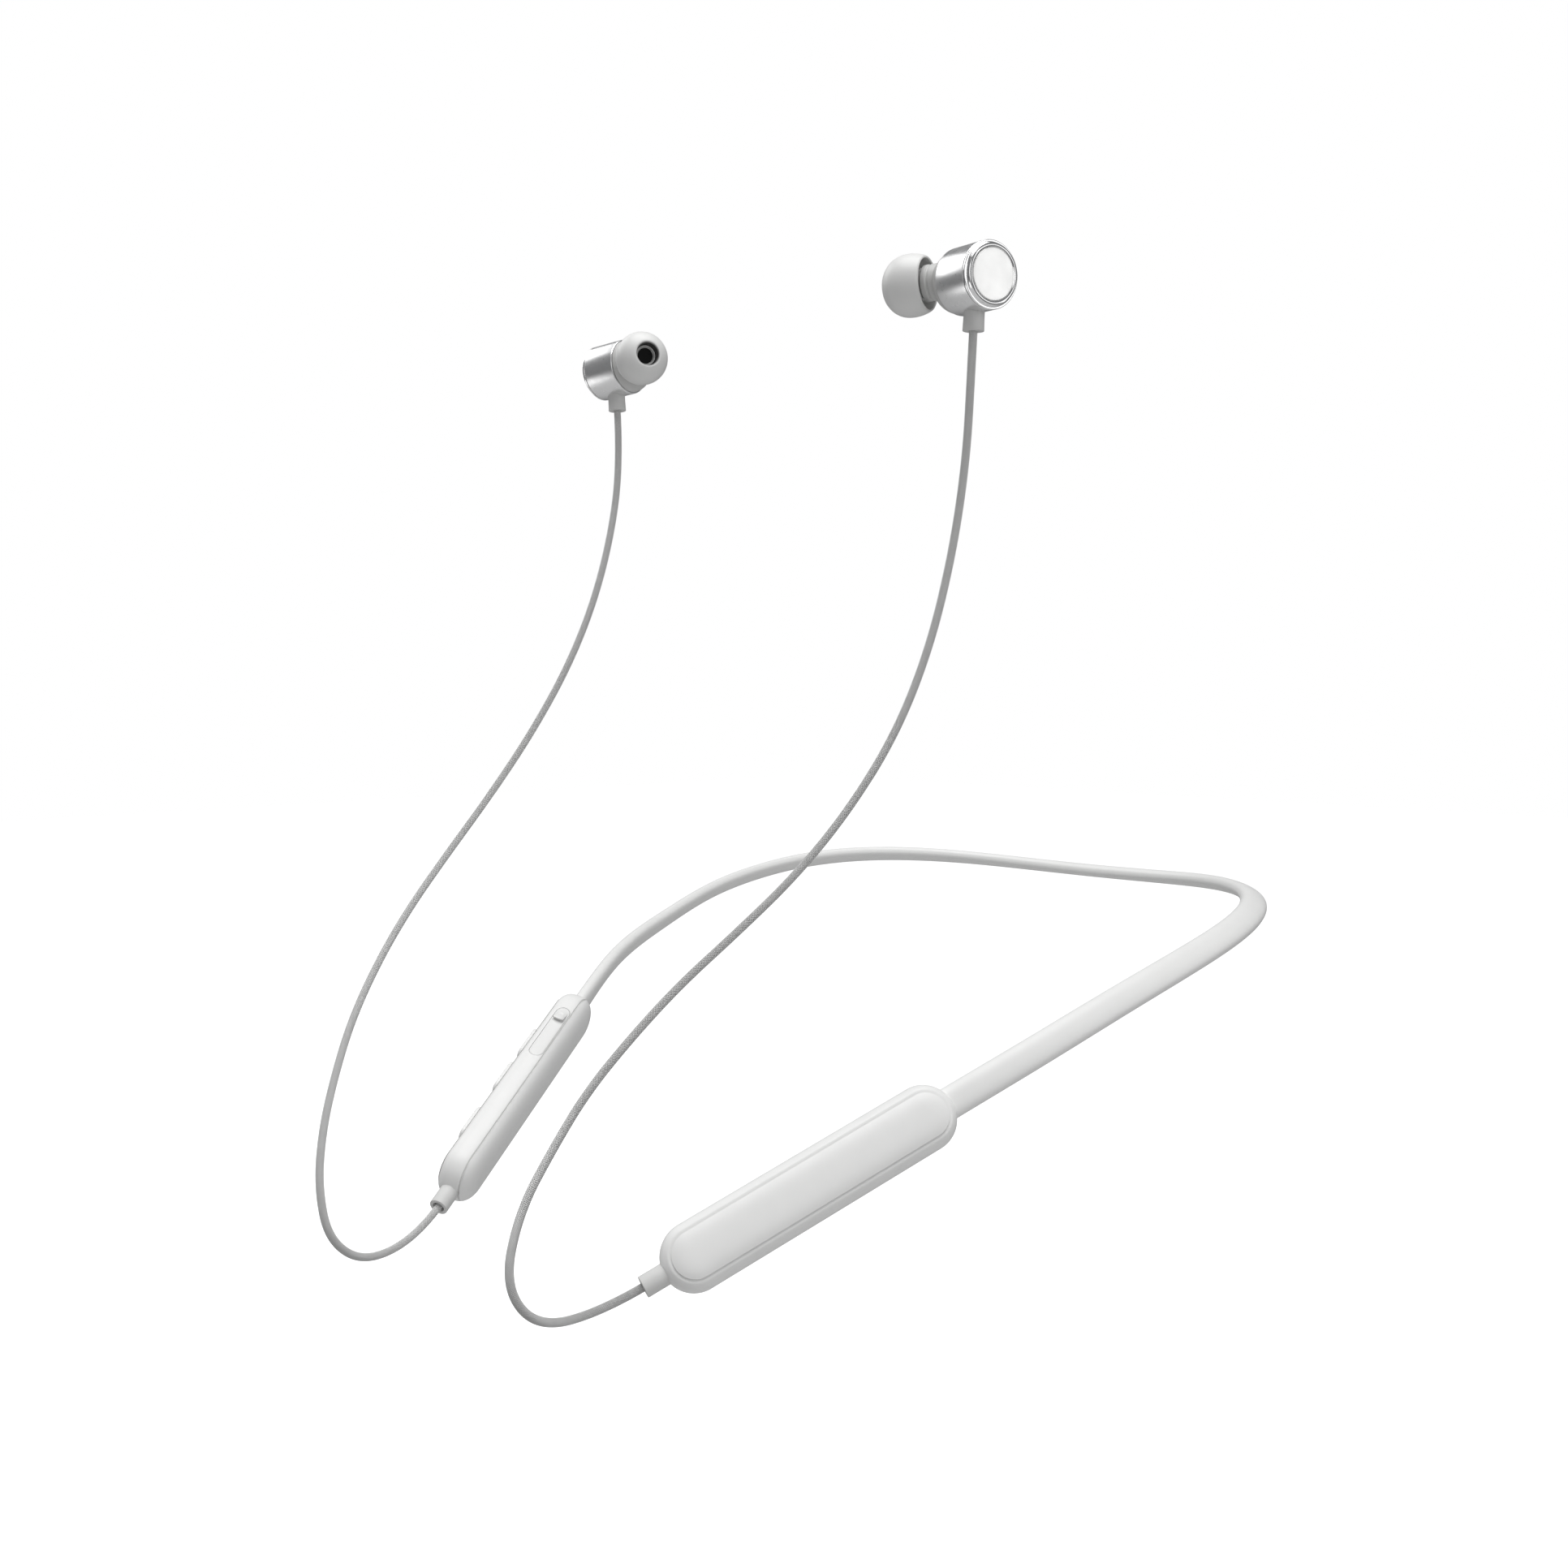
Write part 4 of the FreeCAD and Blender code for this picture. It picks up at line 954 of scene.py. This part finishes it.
def build_bud(side):
    place, nozzle = bud_place(side), nozzle_place(side)
    body = f"{side}_arm"
    housing = spun(f"{side}_housing_tube", rounded(HOUSING_OUTLINE, steps=6), place,
                   "housing_metal", count=160, sharp=50.0)
    finish(housing, body, "housing_metal", f"{side}_housing")
    ring = spun(f"{side}_rear_ring_turned", rounded(RING_OUTLINE, steps=6), place,
                "ring_metal", count=160, sharp=60.0)
    finish(ring, body, "ring_metal", f"{side}_rear_ring")
    plate = spun(f"{side}_rear_plate_disc", rounded(PLATE_OUTLINE, closed=False), place,
                 "plate_plastic", closed=False, count=128)
    finish(plate, body, "plate_plastic", f"{side}_rear_plate")

    dome = spun(f"{side}_front_dome", dome_outline(), place, "shell_plastic", closed=False,
                count=128, sharp=40.0)
    neck = spun(f"{side}_front_collar", rounded(NECK_OUTLINE, closed=False), nozzle,
                "shell_plastic", closed=False, count=96, sharp=40.0)
    finish(joined(f"{side}_front_shell_body", [dome, neck]), body, "shell_plastic",
           f"{side}_front_shell")

    tip = spun(f"{side}_ear_tip_soft", TIP_OUTLINE, nozzle, "tip_silicone", count=128,
               sharp=80.0)
    modifier = tip.modifiers.new("smooth", "SUBSURF")
    modifier.levels = modifier.render_levels = 1
    finish(tip, f"{side}_ear_tip", "tip_silicone", f"{side}_ear_tip")

    downward = place @ Matrix.Rotation(math.pi / 2, 4, "Y")
    boot = spun(f"{side}_relief_boot", rounded(BOOT_OUTLINE, closed=False), downward,
                "relief_rubber", closed=False, count=64, sharp=50.0)
    finish(boot, body, "relief_rubber", f"{side}_relief")


# ---- Cords ----
CORD_DIAMETER = 1.6
CORD_ROUTES = {
    "left": [
        (48.0, -117.0, 93.5), (44.0, -116.0, 76.0), (40.0, -118.0, 57.5), (36.0, -123.5, 40.5),
        (31.5, -132.5, 25.5), (27.5, -143.0, 13.5), (23.5, -154.5, 3.5), (20.0, -166.0, -5.5),
        (18.5, -176.5, -14.0), (17.5, -186.0, -22.5), (18.0, -194.0, -31.0),
        (20.5, -203.0, -39.5), (23.0, -208.0, -50.5), (25.5, -203.0, -58.5),
    ],
    "right": [
        (-52.3, -122.5, 92.5), (-54.0, -126.5, 73.5), (-56.5, -133.0, 56.0),
        (-59.0, -142.5, 39.5), (-60.5, -153.5, 25.0), (-60.5, -165.0, 12.5),
        (-58.0, -176.5, 1.5), (-54.0, -186.5, -8.5), (-49.0, -195.5, -18.5),
        (-43.5, -202.5, -28.0), (-37.5, -208.5, -36.5), (-32.0, -212.5, -45.5),
        (-29.0, -212.0, -55.5), (-28.5, -204.5, -61.5),
    ],
}
# Straight out of each relief for the end run, from a seat this deep in the relief's mouth.
CORD_END_RUN, MOUTH_DEPTH = 9.0, 1.5
STATION_STEP = 0.12

# The braid: how many strands each of its two families has, the length of a strand's turn, its
# thickness, how far it rises over a crossing, and its width as a share of its room. The
# stretch sets how fine its fibres are.
STRANDS, STRAND_PITCH = 12, 5.4
STRAND_THICKNESS, STRAND_LIFT, STRAND_FILL = 0.075, 0.045, 0.496
STRAND_MIDDLE = CORD_DIAMETER / 2 - STRAND_THICKNESS - STRAND_LIFT * 0.6
STRAND_SECTION = [(-1.0, 0.0), (-0.62, 0.8), (0.0, 1.0), (0.62, 0.8), (1.0, 0.0), (0.0, -0.7)]
FIBRE_STRETCH = 10.0
CORE_RADIUS, CORE_AROUND = STRAND_MIDDLE - 0.02, 12


def cord_route(side):
    seat = Vector((0, 0, -CORD_DROP + MOUTH_DEPTH))
    start = [bud_place(side) @ p for p in (seat, seat - Vector((0, 0, CORD_END_RUN)))]
    seat = Vector((-POD_LENGTH / 2 - RELIEF_LENGTH + MOUTH_DEPTH, 0, 0))
    end = [pod_place(side) @ p for p in (seat - Vector((CORD_END_RUN, 0, 0)), seat)]
    return [tuple(p) for p in start] + CORD_ROUTES[side] + [tuple(p) for p in end]


def cord_centreline(name, route):
    """Evenly spaced points read from a NURBS curve whose control points are the route's, two
    directions across it at each, and how far along it is."""
    data = bpy.data.curves.new(name, "CURVE")
    data.dimensions = "3D"
    data.resolution_u = 24
    spline = data.splines.new("NURBS")
    spline.points.add(len(route) - 1)
    for point, place in zip(spline.points, route):
        point.co = (*(c * MM for c in place), 1.0)
    spline.order_u = 3
    spline.use_endpoint_u = True
    holder = bpy.data.objects.new(name, data)
    read = bpy.data.meshes.new_from_object(holder)
    raw = np.array([v.co for v in read.vertices], float) / MM
    bpy.data.meshes.remove(read)
    bpy.data.objects.remove(holder)
    bpy.data.curves.remove(data)
    count = int(arc_lengths(raw)[-1] / STATION_STEP) + 1
    line, direction, arc = evenly_spaced(raw, count)
    across = np.zeros_like(line)
    across[0] = np.cross(direction[0], [0.0, 1.0, 0.2])
    for i in range(1, count):
        across[i] = across[i - 1] - direction[i] * (across[i - 1] @ direction[i])
        across[i] /= np.linalg.norm(across[i])
    across[0] = across[1]
    return line, across, np.cross(direction, across), arc


def braid_mesh(name, line, first, second, arc):
    """Two families of flat strands that wind opposite ways and pass over and under each other.
    A strand's local place is the way along it, the way across it, and its number."""
    half_width = math.pi * STRAND_MIDDLE / STRANDS * STRAND_FILL
    stations, corners = len(arc), len(STRAND_SECTION)
    turns = arc / STRAND_PITCH
    points, local, faces = [], [], []
    for family in (1, -1):
        for strand in range(STRANDS):
            angle = 2 * math.pi * (strand / STRANDS + family * turns)
            crossing = STRANDS * (angle / (2 * math.pi) + family * turns)
            height = STRAND_MIDDLE + family * STRAND_LIFT * np.cos(math.pi * (strand + crossing))
            outward = first * np.cos(angle)[:, None] + second * np.sin(angle)[:, None]
            along = np.gradient(line + outward * height[:, None], axis=0)
            along /= np.linalg.norm(along, axis=1)[:, None]
            flat = np.cross(outward, along)
            flat /= np.linalg.norm(flat, axis=1)[:, None]
            start = len(points) * stations
            for across, up in STRAND_SECTION:
                points.append(line + flat * (across * half_width)
                              + outward * (height + up * STRAND_THICKNESS)[:, None])
                width_way = across * half_width * FIBRE_STRETCH
                local.append(np.stack([arc, np.full(stations, width_way),
                                       np.full(stations, float(strand))], axis=1))
            for k in range(corners):
                a, b = start + k * stations, start + ((k + 1) % corners) * stations
                faces.extend((a + i, b + i, b + i + 1, a + i + 1) for i in range(stations - 1))
    return large_mesh_piece(name, np.concatenate(points), faces, np.concatenate(local),
                            "cord_braid")


def core_mesh(name, line, first, second):
    """The dark tube that shows between the strands."""
    points = []
    for k in range(CORE_AROUND):
        angle = 2 * math.pi * k / CORE_AROUND
        points.append(line + (first * math.cos(angle) + second * math.sin(angle)) * CORE_RADIUS)
    points = np.stack(points, axis=1).reshape(-1, 3)
    faces = grid_faces(len(line), CORE_AROUND, wrap_columns=True)
    return large_mesh_piece(name, points, faces, points, "cord_core")


def build_cord(side):
    """A braided cord over a dark core, as one piece with two materials."""
    name = f"{side}_cord_braid"
    line, first, second, arc = cord_centreline(name, cord_route(side))
    braid = braid_mesh(name, line, first, second, arc)
    core = core_mesh(name + "_core", line, first, second)
    work = bmesh.new()
    work.from_mesh(core.data)
    for face in work.faces:
        face.material_index = 1
    work.from_mesh(braid.data)
    work.to_mesh(braid.data)
    work.free()
    braid.data.materials.append(MATS["cord_core"])
    bpy.data.objects.remove(core)
    finish(braid, f"{side}_arm", "cord_braid", f"{side}_cord")


# ---- Pieces kept from the frame ----
def dress_nodes():
    slots = {entry["node"]: entry["material_slot"] for entry in frame["record"]["subparts"]}
    for name, node in NODES.items():
        node.data.materials.clear()
        node.data.materials.append(MATS[slots[name]])
        node.data.shade_smooth()
        node.data.set_sharp_from_angle(angle=math.radians(SHARP_ANGLE))


dress_nodes()
build_band()
build_pods()
for ear in ("left", "right"):
    build_bud(ear)
    build_cord(ear)
